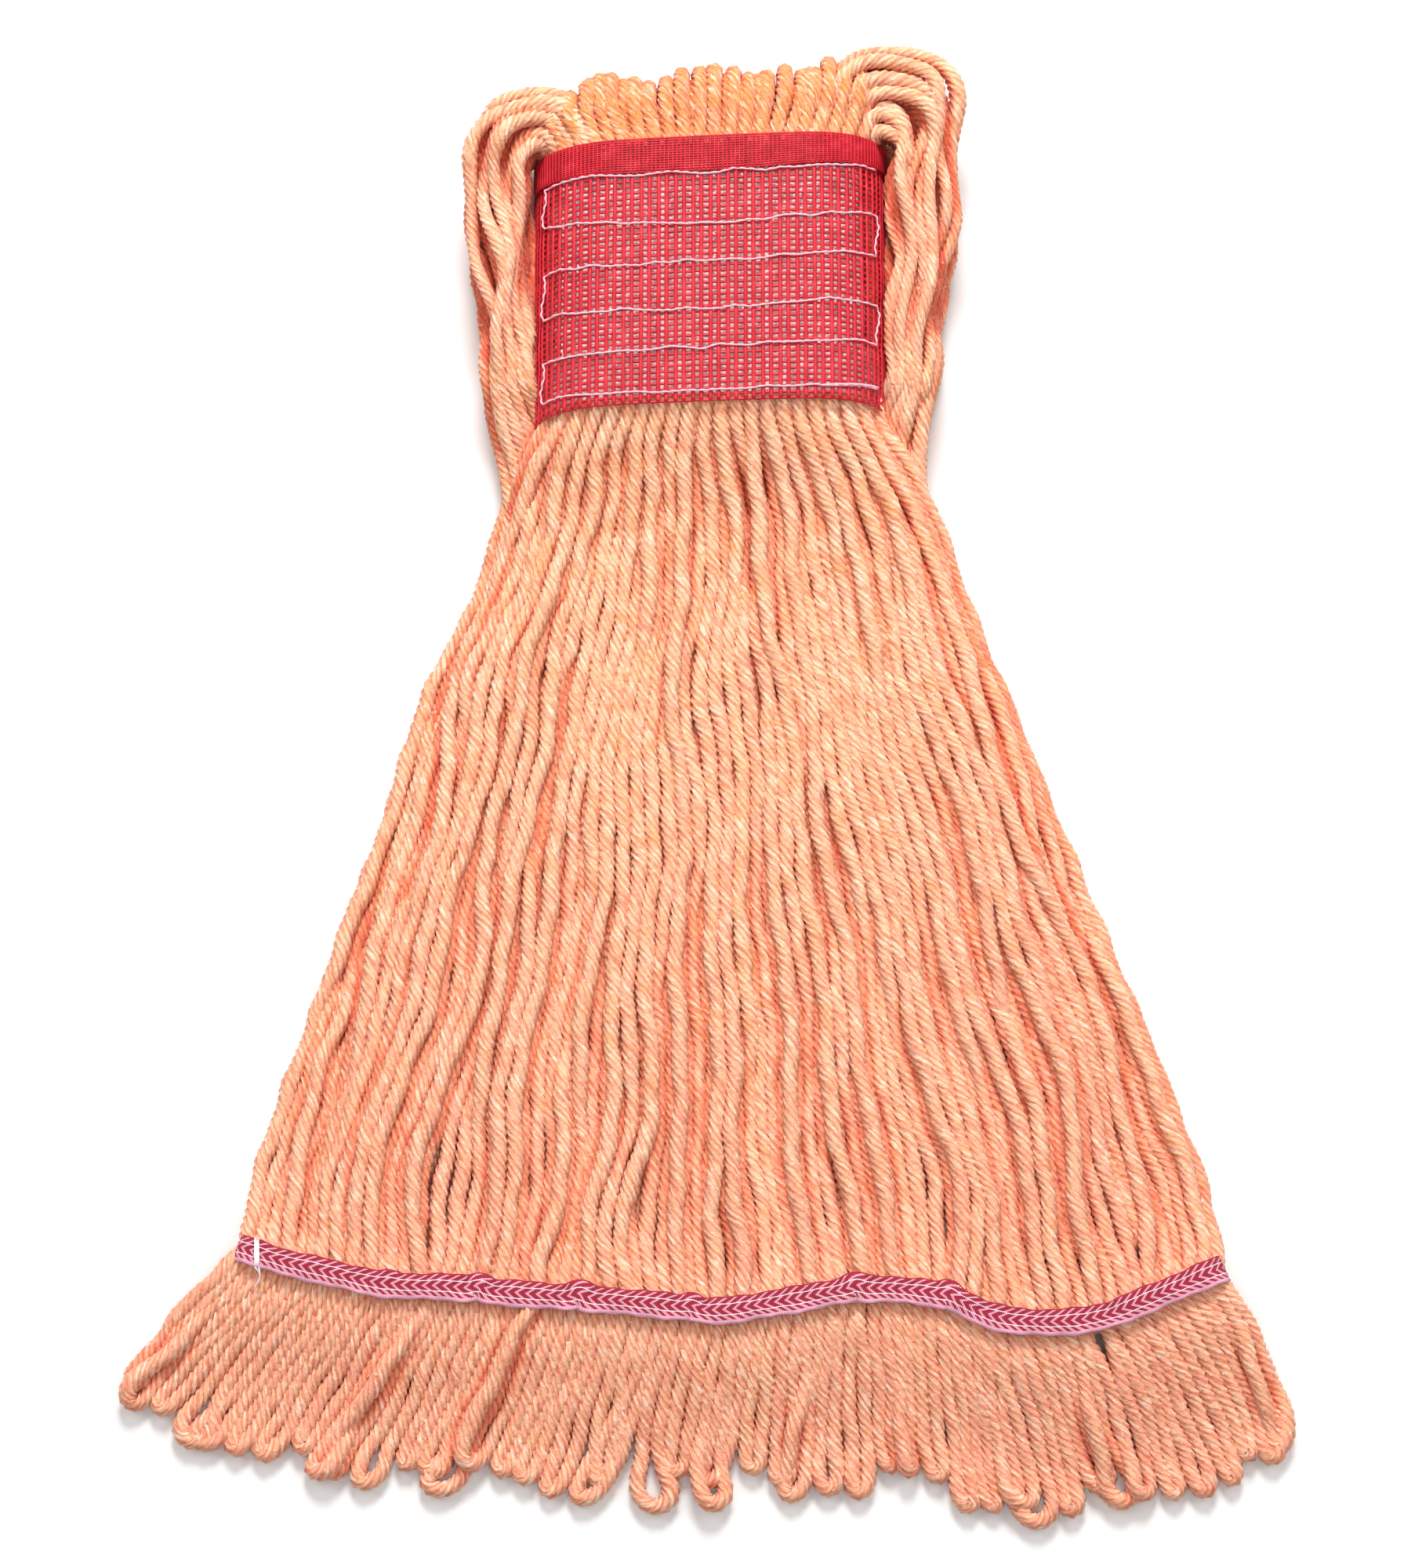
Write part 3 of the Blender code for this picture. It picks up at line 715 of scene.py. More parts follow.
front_map = lay_map([loop[0] for loop in front_loops])
DECLARED_LOOPS = 20
longest = sorted(range(loop_count), key=lambda k: -len(front_loops[k][1]))[:DECLARED_LOOPS]
for k in sorted(longest):
    rings, middle, far, shade = front_loops[k]
    piece = strand_mesh(f"front_loop_{k + 1}", [(rings, far, shade)], front_map)
    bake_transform(piece)
rest = [k for k in range(loop_count) if k not in longest]
GROUP = 6
groups = [rest[i : i + GROUP] for i in range(0, len(rest), GROUP)]
for i, group in enumerate(groups):
    strands = [(front_loops[k][0], front_loops[k][2], front_loops[k][3]) for k in group]
    piece = strand_mesh(f"front_loops_{i + 1}", strands, front_map)
    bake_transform(piece)
    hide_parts(f"front_lock_{i + 1}", f"front_fringe_{i + 1}")
for name in list(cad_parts):
    if name.startswith(("front_lock", "front_fringe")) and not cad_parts[name].hide_render:
        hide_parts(name)

# ----------------------------------------------------------------------
# Top fold: past the headband's upper edge the same strands roll over backwards, side by side, and run on
# flat underneath the headband towards the back half.
# ----------------------------------------------------------------------
SPLIT_Y = 0.172
wrap_source = np.random.default_rng(11)


def fold_edge(x):
    """How far up the rolled edge stands at each place across, with its notch right of the middle."""
    notch = 0.0065 * np.exp(-(((x - 0.036) / 0.006) ** 2))
    notch += 0.0060 * np.clip((np.abs(x) - 0.048) / 0.0135, 0, 1) ** 2
    return 0.3180 + 0.085 * x + 0.004 * np.exp(-(((x - 0.062) / 0.02) ** 2)) - notch


WRAPS = 20
wrap_paths = []
for depth in (0, 1):
    for k in range(WRAPS):
        x = -0.0615 + 0.123 * (k + 0.5 * depth - 0.25) / (WRAPS - 1)
        lean = 0.0030 * math.sin(x / 0.017 + 1.3 * depth) + wrap_source.normal(0, 0.0012)
        lean += 0.0085 * (x / 0.0615) ** 3
        rise = 0.0018 * math.sin(x / 0.0061 + 2.0) + wrap_source.uniform(-0.0018, 0.0018)
        high = float(crown(x)) - 0.0012 - radius - 0.0012 * depth
        low = 0.0034 + 0.0064 * depth
        turn_radius = 0.5 * (high - low) + 0.0005
        edge = float(fold_edge(x)) + rise - 0.0036 * depth
        centre = edge - turn_radius - STRAND / 2 + 0.001
        top = float(band_top(x))
        points = [(x, float(band_bottom(x)) + 0.024, high), (x, 0.220, high), (x, top - 0.014, high)]
        points.append((x + 0.2 * lean, top + 0.001, high - 0.0002))
        points.append((x + 0.6 * lean, top + 0.010, high - 0.0008 - 0.0022 * depth))
        for angle in np.radians((90, 65, 40, 15, -10, -35, -60, -85)):
            points.append(
                (
                    x * 1.02 + lean,
                    centre + turn_radius * math.cos(angle) + 0.0035 * math.sin(angle),
                    0.5 * (high + low) + turn_radius * math.sin(angle),
                )
            )
        for y in (0.268, 0.235, 0.205, SPLIT_Y):
            points.append((x * 1.02 + 0.4 * lean + wrap_source.normal(0, 0.0005), y, low))
        wrap_paths.append(smooth_path(points, 0.003))

# Corner strands, which swirl outwards past the headband's upper corners and come down beside it.
CORNER_LEFT = (
    ((-0.0765, 0.2815, 0.0370), (0.010, 0.0225, 0.004)),
    ((-0.0830, 0.2760, 0.0360), (-0.0120, 0.0230, 0.004)),
    ((-0.0825, 0.2520, 0.0320), (-0.0245, 0.0150, 0.000)),
    ((-0.0818, 0.2070, 0.0290), (-0.0195, 0.0, -0.001)),
)
CORNER_RIGHT = (
    ((0.0755, 0.2880, 0.0370), (-0.006, 0.0360, 0.004)),
    ((0.0830, 0.2840, 0.0360), (0.0140, 0.0350, 0.004)),
    ((0.0828, 0.2570, 0.0325), (0.0250, 0.0220, 0.000)),
    ((0.0820, 0.2070, 0.0290), (0.0190, 0.0, -0.001)),
)
# Where each side's strands end across, how far they spread there, and their height.
CORNER_END = {-1: (-0.0800, -0.0190), 1: (0.0805, 0.0175)}
CORNER_END_Z = 0.0285
CORNER_ACROSS = 5
CORNER_DEEP = 5
corner_paths = {-1: [], 1: []}
for side, controls in ((-1, CORNER_LEFT), (1, CORNER_RIGHT)):
    for depth in range(CORNER_DEEP):
        for k in range(CORNER_ACROSS):
            f = np.clip((k + 0.5 * (depth % 2)) / (CORNER_ACROSS - 0.5) + wrap_source.normal(0, 0.06), 0, 1)
            inner = side * (0.0712 - 0.030 * f)
            z = float(crown(abs(inner) + 0.0026)) - 0.0012 - radius
            z = max(z - 0.0062 * depth, LOWEST_IN_BAND + radius)
            start = float(band_bottom(inner)) + 0.022
            points = [(inner, start, z), (inner, 0.225, z), (inner, float(band_top(inner)) - 0.006, z)]
            mound = 0.0055 * math.sin(math.pi * min(f + 0.1, 1.0))
            for n, (base, spread) in enumerate(controls):
                jitter = wrap_source.normal(0, 0.0024, 3) * (n > 0)
                z = base[2] + spread[2] * f + mound * (n > 0) - 0.0050 * depth + 0.8 * jitter[2]
                across = max(side * (base[0] + spread[0] * f) + jitter[0], 0.0806 if n > 1 else 0.0)
                points.append((side * across, base[1] + spread[1] * f + jitter[1], max(z, radius)))
            end_x, end_spread = CORNER_END[side]
            z = max(CORNER_END_Z - 0.0050 * depth, radius)
            points.append((end_x + end_spread * f, SPLIT_Y, z))
            path = smooth_path(points, 0.003)
            far = run_length(path)
            turned = far[np.argmax(path[:, 1])]
            loose = np.clip((far - turned - 0.004) / 0.02, 0, 1) * np.clip((far[-1] - far) / 0.02, 0, 1)
            for axis, size in ((0, 0.0026), (2, 0.0018)):
                wave = wrap_source.uniform(0.050, 0.085)
                path[:, axis] += loose * size * np.sin(2 * np.pi * far / wave + wrap_source.uniform(0, 6.3))
            path[:, 0] = side * np.maximum(side * path[:, 0], np.where(loose > 0.5, 0.0800, 0.0))
            path[:, 2] = np.maximum(path[:, 2], radius)
            within = path[:, 1] < band_top(path[:, 0]) + 0.0015
            beneath = crown(np.abs(path[:, 0]) + 0.0022) - 0.0014 - radius
            beneath = np.maximum(beneath, LOWEST_IN_BAND + radius)
            path[:, 2] = np.where(within & (far < turned), np.minimum(path[:, 2], beneath), path[:, 2])
            corner_paths[side].append(path)

# ----------------------------------------------------------------------
# Back half: the strands from the fold and the corners gather under the front half, spread into a smaller
# fan, pass through a tail tape of their own and end in loops that the front half hides.
# ----------------------------------------------------------------------
BACK_EDGES = (
    (0.1720, -0.1030, 0.1000), (0.1580, -0.0990, 0.0970), (0.1340, -0.0930, 0.0950),
    (0.1130, -0.0910, 0.0980), (0.0775, -0.1000, 0.1080), (0.0070, -0.1260, 0.1330),
    (-0.0630, -0.1480, 0.1580), (-0.1290, -0.1480, 0.1580), (-0.2140, -0.1800, 0.1930),
)
BACK_ROWS = 44
BACK_TAPE_Y = -0.1290
back_y = np.concatenate([np.linspace(SPLIT_Y, BACK_TAPE_Y, 33), np.linspace(BACK_TAPE_Y, -0.2110, 12)[1:]])
BACK_Y, BACK_LEFT, BACK_RIGHT = np.array(BACK_EDGES)[::-1].T
left = np.interp(back_y, BACK_Y, BACK_LEFT)[:, None]
right = np.interp(back_y, BACK_Y, BACK_RIGHT)[:, None]
back_lines = np.stack([left + (right - left) * SHARES, np.tile(back_y[:, None], SHARE_COUNT)], axis=2)
BACK_TAPE_AT = 32
ahead = wrap_paths + corner_paths[-1] + corner_paths[1]
ends = np.array([path[-1] for path in ahead])
back_count = len(ahead)
width = back_lines[:, -1, 0] - back_lines[:, 0, 0]
start_share = np.clip((ends[:, 0] - back_lines[0, 0, 0]) / width[0], 0.01, 0.99)
ranks = (np.argsort(np.argsort(start_share + 1e-4 * ends[:, 2])) + 0.5) / back_count
run = np.arange(BACK_ROWS)
toward = eased(np.clip(run / 9.0, 0, 1))[:, None]
sway = 0.0028 * slow_noise(BACK_ROWS, back_count, 8, wrap_source) / width[:, None] * toward
back_target = start_share * (1 - toward) + ranks * toward + sway
back_pairs = np.argsort(ranks).reshape(-1, 2)
for a, b in back_pairs:
    middle = 0.5 * (ranks[a] + ranks[b])
    half = 0.5 * wrap_source.uniform(0.006, 0.013) / width[-1]
    for s in range(BACK_TAPE_AT + 1, BACK_ROWS):
        share = (s - BACK_TAPE_AT) / (BACK_ROWS - 1 - BACK_TAPE_AT)
        back_target[s, a] += (middle - half - back_target[s, a]) * share
        back_target[s, b] += (middle + half - back_target[s, b]) * share
under_front = np.interp(back_y, EDGE_Y, -EDGE_LEFT)
back_ceiling = np.full((BACK_ROWS, SHARE_COUNT), 0.0160)
for s in range(BACK_ROWS):
    outside = np.abs(back_lines[s, :, 0]) > under_front[s] - 0.003
    if back_y[s] > 0.118:
        back_ceiling[s, outside] = np.interp(back_y[s], (0.118, 0.150, 0.172), (0.017, 0.024, 0.032))
back_ceiling[BACK_TAPE_AT] = 0.0116
back_ground = np.zeros((BACK_ROWS, SHARE_COUNT))
back_ground[BACK_TAPE_AT] = 0.0018
back_high = np.tile(np.clip(ends[:, 2], radius, 0.0160 - radius), (BACK_ROWS, 1))
back_high[0] = ends[:, 2]
back_share = back_target.copy()
back_share[0] = start_share
back_begin = (back_share, back_high)
back_share, back_high = settle(back_lines, back_target, back_begin, back_ground, back_ceiling, 1, 160)


def back_leg(i, last):
    x = np.array([np.interp(back_share[s, i], SHARES, back_lines[s, :, 0]) for s in range(1, last + 1)])
    return np.stack([x, back_y[1 : last + 1], back_high[1 : last + 1, i]], axis=1)


BACK_STEP = 0.0030
wraps, corners, back_loops = [], {-1: [], 1: []}, []
for a, b in back_pairs:
    cut = BACK_ROWS - 1 - int(wrap_source.integers(0, 2))
    legs = [back_leg(a, cut), back_leg(b, cut)]
    out = np.array([0.0, -1.0, 0.0])
    turn = loop_end(legs[0][-1], legs[1][-1], out)
    # The whole strand is ringed in one go, then cut where it crosses the fold, so its twist runs through.
    beyond_fold = [ahead[a][-1:], legs[0], turn, legs[1][::-1], ahead[b][-1:]]
    far_side = smooth_path(np.concatenate(beyond_fold), 0.005)
    full = np.concatenate([ahead[a][:-1], far_side, ahead[b][:-1][::-1]])
    full[:, 2] = np.maximum(full[:, 2], PLUMP * 1.04)
    rings, middle, far = strand_rings(full, BACK_STEP, PLUMP, wrap_source.uniform(0, 2 * np.pi))
    rings = slimmer(rings, middle)
    half_way = len(middle) // 2
    turn_a = int(np.argmax(middle[:half_way, 1]))
    turn_b = half_way + int(np.argmax(middle[half_way:, 1]))
    below = np.flatnonzero(middle[turn_a:turn_b, 1] < SPLIT_Y + wrap_source.uniform(0.0, 0.030))
    low, high = turn_a + below[0], turn_a + below[-1]
    shade = float(np.clip(0.22 + wrap_source.normal(0, 0.1), 0, 1))
    back_loops.append((rings[low : high + 1], far[low : high + 1], 0.5 * shade))
    for index, part in ((a, slice(0, low + 1)), (b, slice(high, None))):
        in_fold = index < len(wrap_paths)
        # A tint of -1 at the fold brings in the yarn material's painted shade there.
        upper = (0.5 * shade, 0.0, -1.0) if in_fold else (0.5 * shade, 0.75, 0.30)
        shades = np.interp(middle[part][:, 1], (SPLIT_Y, 0.21, 0.285), upper)
        entry = (rings[part], far[part], under_band(middle[part], shades))
        if in_fold:
            wraps.append(entry)
        else:
            corners[-1 if index < len(wrap_paths) + len(corner_paths[-1]) else 1].append(entry)

back_map = lay_map([part[0] for part in back_loops + wraps + corners[-1] + corners[1]])
for i in range(4):
    piece = strand_mesh(f"fold_strands_{i + 1}", wraps[i::4], back_map)
    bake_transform(piece)
    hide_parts(f"fold_wrap_{i + 1}", f"back_upper_yarn_{i + 1}", f"core_yarn_{i + 1}")
for side, name in ((-1, "left"), (1, "right")):
    piece = strand_mesh(f"corner_strands_{name}", corners[side], back_map)
    start, end = (side * 0.0740, 0.29, 0.03), (side * 0.0805, 0.29, 0.03)
    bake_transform(piece)
    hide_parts(f"fold_corner_{name}", f"back_shoulder_{name}")
for i in range(6):
    piece = strand_mesh(f"back_loops_{i + 1}", back_loops[i::6], back_map)
    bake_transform(piece)
    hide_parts(f"back_lock_{i + 1}", f"back_fringe_{i + 1}")

# ----------------------------------------------------------------------
# Headband: a five-inch band of open mesh, woven from yarn coated in red vinyl. Heavy ribs run up and down,
# thinner ones across, and the front panel is drawn round the bundle of yarn to meet the back panel.
# ----------------------------------------------------------------------
vinyl, tree, shader = surface("red_vinyl", 0.42, 0.32)
mottle = noise(tree, tree.nodes.new("ShaderNodeTexCoord").outputs["Object"], 160.0, 3.0)
REDS = ((0.30, (0.42, 0.006, 0.018)), (0.55, (0.54, 0.011, 0.027)), (0.75, (0.66, 0.036, 0.052)))
tree.links.new(ramp(tree, mottle, REDS), shader.inputs["Base Color"])

across_x = np.linspace(-BAND_HALF_WIDTH, BAND_HALF_WIDTH, 2401)
across_z = crown(across_x)
arc = np.concatenate([[0], np.cumsum(np.hypot(np.diff(across_x), np.diff(across_z)))])
arc -= arc[-1] / 2
ARC_HALF = arc[-1]
STITCH_HALF_WIDTH = 0.0735
STITCH_ROWS = (
    (0.2603, 0.2693, -0.0020), (0.2411, 0.2478, -0.0053), (0.2189, 0.2284, -0.0031),
    (0.1983, 0.2060, -0.0030), (0.1775, 0.1866, -0.0012), (0.1599, 0.1656, -0.0022),
)


def row_height(row, x):
    left, right, rise = STITCH_ROWS[row]
    share = (x / STITCH_HALF_WIDTH + 1) / 2
    return left + (right - left) * share + rise * (1 - (2 * share - 1) ** 2)


def band_frame(s, share):
    """A point on the headband's face, its outward normal and its sideways direction."""
    x = np.interp(s, arc, across_x)
    z = np.interp(s, arc, across_z)
    dx = np.interp(s + 2e-4, arc, across_x) - np.interp(s - 2e-4, arc, across_x)
    dz = np.interp(s + 2e-4, arc, across_z) - np.interp(s - 2e-4, arc, across_z)
    long = np.hypot(dx, dz)
    dx, dz = dx / long, dz / long
    y = band_bottom(x) + (band_top(x) - band_bottom(x)) * share
    pucker = sum(np.exp(-(((y - row_height(r, x)) / 0.003) ** 2)) for r in range(6))
    lift = -0.0003 * pucker - 0.0004
    nothing = np.zeros_like(x)
    normal = np.stack([-dz, nothing, dx], axis=-1)
    side = np.stack([dx, nothing, dz], axis=-1)
    return np.stack([x, y, z], axis=-1) + normal * lift[..., None], normal, side


def tube(points, first, second, half_first, half_second, sides):
    """A closed tube round points, its section spanning two directions by two half-widths."""
    angle = 2 * np.pi * (np.arange(sides) + 0.5) / sides
    rings = points[:, None, :]
    for direction, half, share in ((first, half_first, np.cos(angle)), (second, half_second, np.sin(angle))):
        direction = np.broadcast_to(direction, points.shape)
        half = np.broadcast_to(half, len(points))
        rings = rings + direction[:, None, :] * (share[None, :] * half[:, None])[:, :, None]
    return rings


def tubes_mesh(name, tubes, material):
    points, faces = [], []
    base = 0
    for rings in tubes:
        n, m = rings.shape[:2]
        points.append(rings.reshape(-1, 3))
        faces.extend((ring_quads(n, m) + base).tolist())
        faces.append((np.arange(m)[::-1] + base).tolist())
        faces.append(((n - 1) * m + np.arange(m) + base).tolist())
        base += n * m
    mesh = bpy.data.meshes.new(name)
    mesh.from_pydata(np.concatenate(points).tolist(), [], faces)
    return piece_of(name, mesh, material)


HOLE_COLUMNS = 50
HOLE_ROWS = 45
pitch = 2 * ARC_HALF / HOLE_COLUMNS
ALONG_X, ALONG_Y, ALONG_Z = np.eye(3)
mesh_tubes = []
rib_shares = np.linspace(0, 1, 76)
for i in range(HOLE_COLUMNS + 1):
    s = -ARC_HALF + i * pitch + (0.00017 if i % 2 else -0.00017) * (0 < i < HOLE_COLUMNS)
    points, normal, side = band_frame(np.full(76, s), rib_shares)
    wave = 0.00008 * np.sin(rib_shares * 2 * np.pi * HOLE_ROWS)
    mesh_tubes.append(tube(points, side, normal, 0.00102 + wave, 0.00050, 6))
for j in range(HOLE_ROWS + 1):
    s = np.linspace(-ARC_HALF, ARC_HALF, HOLE_COLUMNS * 2 + 1)
    points, normal, side = band_frame(s, np.full(len(s), j / HOLE_ROWS))
    small = np.zeros(len(s))
    small[1::4] = 1.0
    points = points - normal * 0.0002
    mesh_tubes.append(tube(points, ALONG_Y, normal, 0.00062 + 0.00022 * small, 0.00036, 5))
front_panel = tubes_mesh("headband_mesh_front", mesh_tubes, vinyl)
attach(front_panel, "headband")
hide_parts("headband_front_panel")

back_tubes = []
for i in range(HOLE_COLUMNS + 1):
    x = -BAND_HALF_WIDTH + 2 * BAND_HALF_WIDTH * i / HOLE_COLUMNS
    y = band_bottom(x) + (band_top(x) - band_bottom(x)) * np.linspace(0, 1, 12)
    points = np.stack([np.full(12, x), y, np.full(12, BACK_PANEL_Z)], axis=1)
    back_tubes.append(tube(points, ALONG_X, ALONG_Z, 0.00090, 0.0005, 6))
for j in range(HOLE_ROWS + 1):
    x = np.linspace(-BAND_HALF_WIDTH, BAND_HALF_WIDTH, 24)
    y = band_bottom(x) + (band_top(x) - band_bottom(x)) * j / HOLE_ROWS
    points = np.stack([x, y, np.full(24, BACK_PANEL_Z)], axis=1)
    back_tubes.append(tube(points, ALONG_Y, ALONG_Z, 0.00055, 0.0004, 5))
back_panel = tubes_mesh("headband_mesh_back", back_tubes, vinyl)
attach(back_panel, "headband")
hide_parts("headband_back_panel")

# The hem: the same mesh turned down over itself along the upper edge, so that its holes are half closed.
hem_tubes = []
for i in range(HOLE_COLUMNS * 2 + 1):
    s = -ARC_HALF + 0.003 + i * (2 * ARC_HALF - 0.006) / (HOLE_COLUMNS * 2)
    x = float(np.interp(s, arc, across_x))
    bottom, top = float(band_bottom(x)), float(band_top(x))
    low = (float(row_height(0, x)) + 0.0012 - bottom) / (top - bottom)
    shares = np.linspace(low, 1.003, 26)
    points, normal, side = band_frame(np.full(26, s), shares)
    bead = 0.00012 * np.cos(shares * 2 * np.pi * HOLE_ROWS * 2 + i)
    hem_tubes.append(tube(points + normal * 0.0011, side, normal, 0.00044 + bead, 0.00036, 5))
for j in range(15):
    s = np.linspace(-ARC_HALF + 0.003, ARC_HALF - 0.003, HOLE_COLUMNS * 2 + 1)
    x = np.interp(s, arc, across_x)
    bottom, top = band_bottom(x), band_top(x)
    low = (row_height(0, x) + 0.0012 - bottom) / (top - bottom)
    points, normal, side = band_frame(s, low + (1.003 - low) * j / 14)
    hem_tubes.append(tube(points + normal * 0.0010, ALONG_Y, normal, 0.00042, 0.0003, 5))
hem = tubes_mesh("headband_hem", hem_tubes, vinyl)
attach(hem, "headband")
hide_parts("headband_top_hem")

# ----------------------------------------------------------------------
# Stitching: one polyester thread, sewn to and fro across the headband through the yarn in six rows, with a
# short doubled run where it ends.
# ----------------------------------------------------------------------
thread = surface("pale_thread", 0.6, colour=(0.86, 0.46, 0.53))[0]
stitch_source = np.random.default_rng(5)


def on_band(x, y, lift):
    s = np.interp(x, across_x, arc)
    share = (y - band_bottom(x)) / (band_top(x) - band_bottom(x))
    points, normal, side = band_frame(s, share)
    return points + normal * np.reshape(lift, (-1, 1))


def round_tube(points, half, sides=6):
    points = np.asarray(points, float)
    tangent = unit(np.gradient(points, axis=0))
    first = np.cross(tangent, (0.0, 0.0, 1.0))
    first /= np.linalg.norm(first, axis=1)[:, None] + 1e-9
    second = np.cross(first, tangent)
    return tube(points, first, second, half, half, sides)


def serpentine():
    spots = []
    for row in range(6):
        x = np.linspace(-STITCH_HALF_WIDTH, STITCH_HALF_WIDTH, 150)
        y = row_height(row, x) + 0.0006 * np.interp(
            x, np.linspace(-0.08, 0.08, 24), stitch_source.normal(0, 1, 24)
        )
        line = np.stack([x, y], axis=1)
        if row % 2 == 0:
            line = line[::-1]
        if spots:
            x0, y0 = spots[-1]
            x1, y1 = line[0]
            for t in np.linspace(0.08, 0.92, 10):
                spots.append((x0 + (x1 - x0) * t + 0.0008 * math.sin(6 * t), y0 + (y1 - y0) * t))
        spots.extend(line.tolist())
    return np.array(spots)


spots = serpentine()
run_far = run_length(spots)
dense = np.arange(0, run_far[-1], 0.00085)
sx, sy = np.interp(dense, run_far, spots[:, 0]), np.interp(dense, run_far, spots[:, 1])
stitch_wave = np.sin(2 * np.pi * dense / 0.0042)
path = on_band(sx, sy, 0.0010 + 0.00028 * stitch_wave)
stitching = tubes_mesh("headband_stitching", [round_tube(path, 0.00044 + 0.00008 * stitch_wave)], thread)
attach(stitching, "headband")
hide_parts("headband_stitch_thread")
x = np.linspace(STITCH_HALF_WIDTH, STITCH_HALF_WIDTH - 0.025, 32)
y = row_height(5, x) + 0.0012 - 0.0016 * (STITCH_HALF_WIDTH - x) / 0.025
doubled = on_band(x, y, np.full(32, 0.0013))
backtack = tubes_mesh("headband_backtack_run", [round_tube(doubled, 0.00050)], thread)
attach(backtack, "headband")
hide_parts("headband_backtack")

# ----------------------------------------------------------------------
# Tail tapes: half-inch herringbone tape, crimson and pink, one ply over and one under each half's strands,
# sewn between them so that the fan keeps its width.
# ----------------------------------------------------------------------
TAPE_WIDTH = 0.0127
TAPE_THICKNESS = 0.0009
woven, tree, shader = surface("herringbone_tape", 0.8)
U, V = weave_axes(tree, "weave")[1:]
PINK = (0.78, 0.34, 0.44, 1)
LIGHT_PINK = (0.87, 0.42, 0.56, 1)
CRIMSON = (0.34, 0.010, 0.034, 1)
WHITE = (0.93, 0.82, 0.87, 1)


def between(low, high):
    """1 where the place across the tape is between low and high."""
    return reckon(tree, "MULTIPLY", reckon(tree, "GREATER_THAN", V, low), reckon(tree, "LESS_THAN", V, high))


def strokes(across, slope, spacing, filled):
    """1 on each of a row of slanted strokes and 0 between them."""
    lean = reckon(tree, "MULTIPLY", across, slope)
    turn = reckon(tree, "FRACT", reckon(tree, "DIVIDE", reckon(tree, "ADD", U, lean), spacing))
    return reckon(tree, "LESS_THAN", turn, filled)


from_middle = reckon(tree, "ABSOLUTE", reckon(tree, "SUBTRACT", V, 0.53))
chevron = strokes(from_middle, -0.0165, 0.0044, 0.66)
upper = strokes(V, -0.020, 0.0044, 0.68)
lower = strokes(V, 0.016, 0.0036, 0.50)
colour = mixed(tree, reckon(tree, "MULTIPLY", upper, between(0.74, 0.95)), PINK, CRIMSON)
colour = mixed(tree, reckon(tree, "MULTIPLY", chevron, between(0.33, 0.73)), colour, CRIMSON)
colour = mixed(tree, reckon(tree, "MULTIPLY", lower, between(0.14, 0.31)), colour, CRIMSON)
colour = mixed(tree, between(0.0, 0.13), colour, LIGHT_PINK)
colour = mixed(tree, between(0.95, 1.0), colour, CRIMSON)
thin_lines = reckon(tree, "MAXIMUM", between(0.715, 0.745), between(0.31, 0.34))
colour = mixed(tree, thin_lines, colour, WHITE)
tree.links.new(colour, shader.inputs["Base Color"])
cross_threads = reckon(tree, "SINE", reckon(tree, "MULTIPLY", U, 2 * math.pi / 0.0009))
bumped(tree, shader, cross_threads, 0.6, 0.0004)


def ribbon(name, middle, half, swell, hold):
    """A tape along its middle line: middle is points, half its half-width at each and swell its ripples."""
    middle = np.asarray(middle, float)
    tangent = unit(np.gradient(middle, axis=0))
    wide = np.cross((0.0, 0.0, 1.0), tangent)
    wide[:] = np.where((np.linalg.norm(wide, axis=1) < 0.3)[:, None], (0.0, 1.0, 0.0), wide)
    wide = unit(wide)
    normal = np.cross(tangent, wide)
    far = run_length(middle)
    cells = 10
    points, faces, uvs = [], [], []
    v = np.linspace(-1, 1, cells + 1)
    for i in range(len(middle)):
        for top in (1, -1):
            for k in range(cells + 1):
                ripple = swell[i] * (1 - v[k] ** 2) + 0.00018 * math.sin(far[i] / 0.00098 + 2.2 * k)
                lift = top * TAPE_THICKNESS / 2 + ripple - 0.0004 * v[k] ** 4
                points.append(middle[i] + wide[i] * half[i] * v[k] + normal[i] * lift)
    ring = 2 * (cells + 1)

    def spot(i, top, k):
        return i * ring + (0 if top else cells + 1) + k

    def face(*corners, flip):
        corners = corners[::-1] if flip else corners
        faces.append([spot(*corner) for corner in corners])
        uvs.extend((far[i], k / cells) for i, _, k in corners)

    for i in range(len(middle) - 1):
        for k in range(cells):
            for top in (True, False):
                face((i, top, k), (i + 1, top, k), (i + 1, top, k + 1), (i, top, k + 1), flip=not top)
        for k in (0, cells):
            face((i, False, k), (i + 1, False, k), (i + 1, True, k), (i, True, k), flip=k == cells)
    for i, flip in ((0, False), (len(middle) - 1, True)):
        edge = [spot(i, True, k) for k in range(cells + 1)]
        edge += [spot(i, False, k) for k in range(cells, -1, -1)]
        faces.append(edge[::-1] if flip else edge)
        uvs.extend([(far[i], 0.5)] * len(edge))
    mesh = bpy.data.meshes.new(name)
    mesh.from_pydata([tuple(p) for p in points], [], faces)
    weave = mesh.uv_layers.new(name="weave")
    weave.data.foreach_set("uv", np.array(uvs, np.float32).ravel())
    piece = piece_of(name, mesh, woven)
    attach(piece, hold)
    return piece


TAPE_SPOTS = 420
front_line = curve_through(TAPE_LINE, np.linspace(0, 1, TAPE_SPOTS))
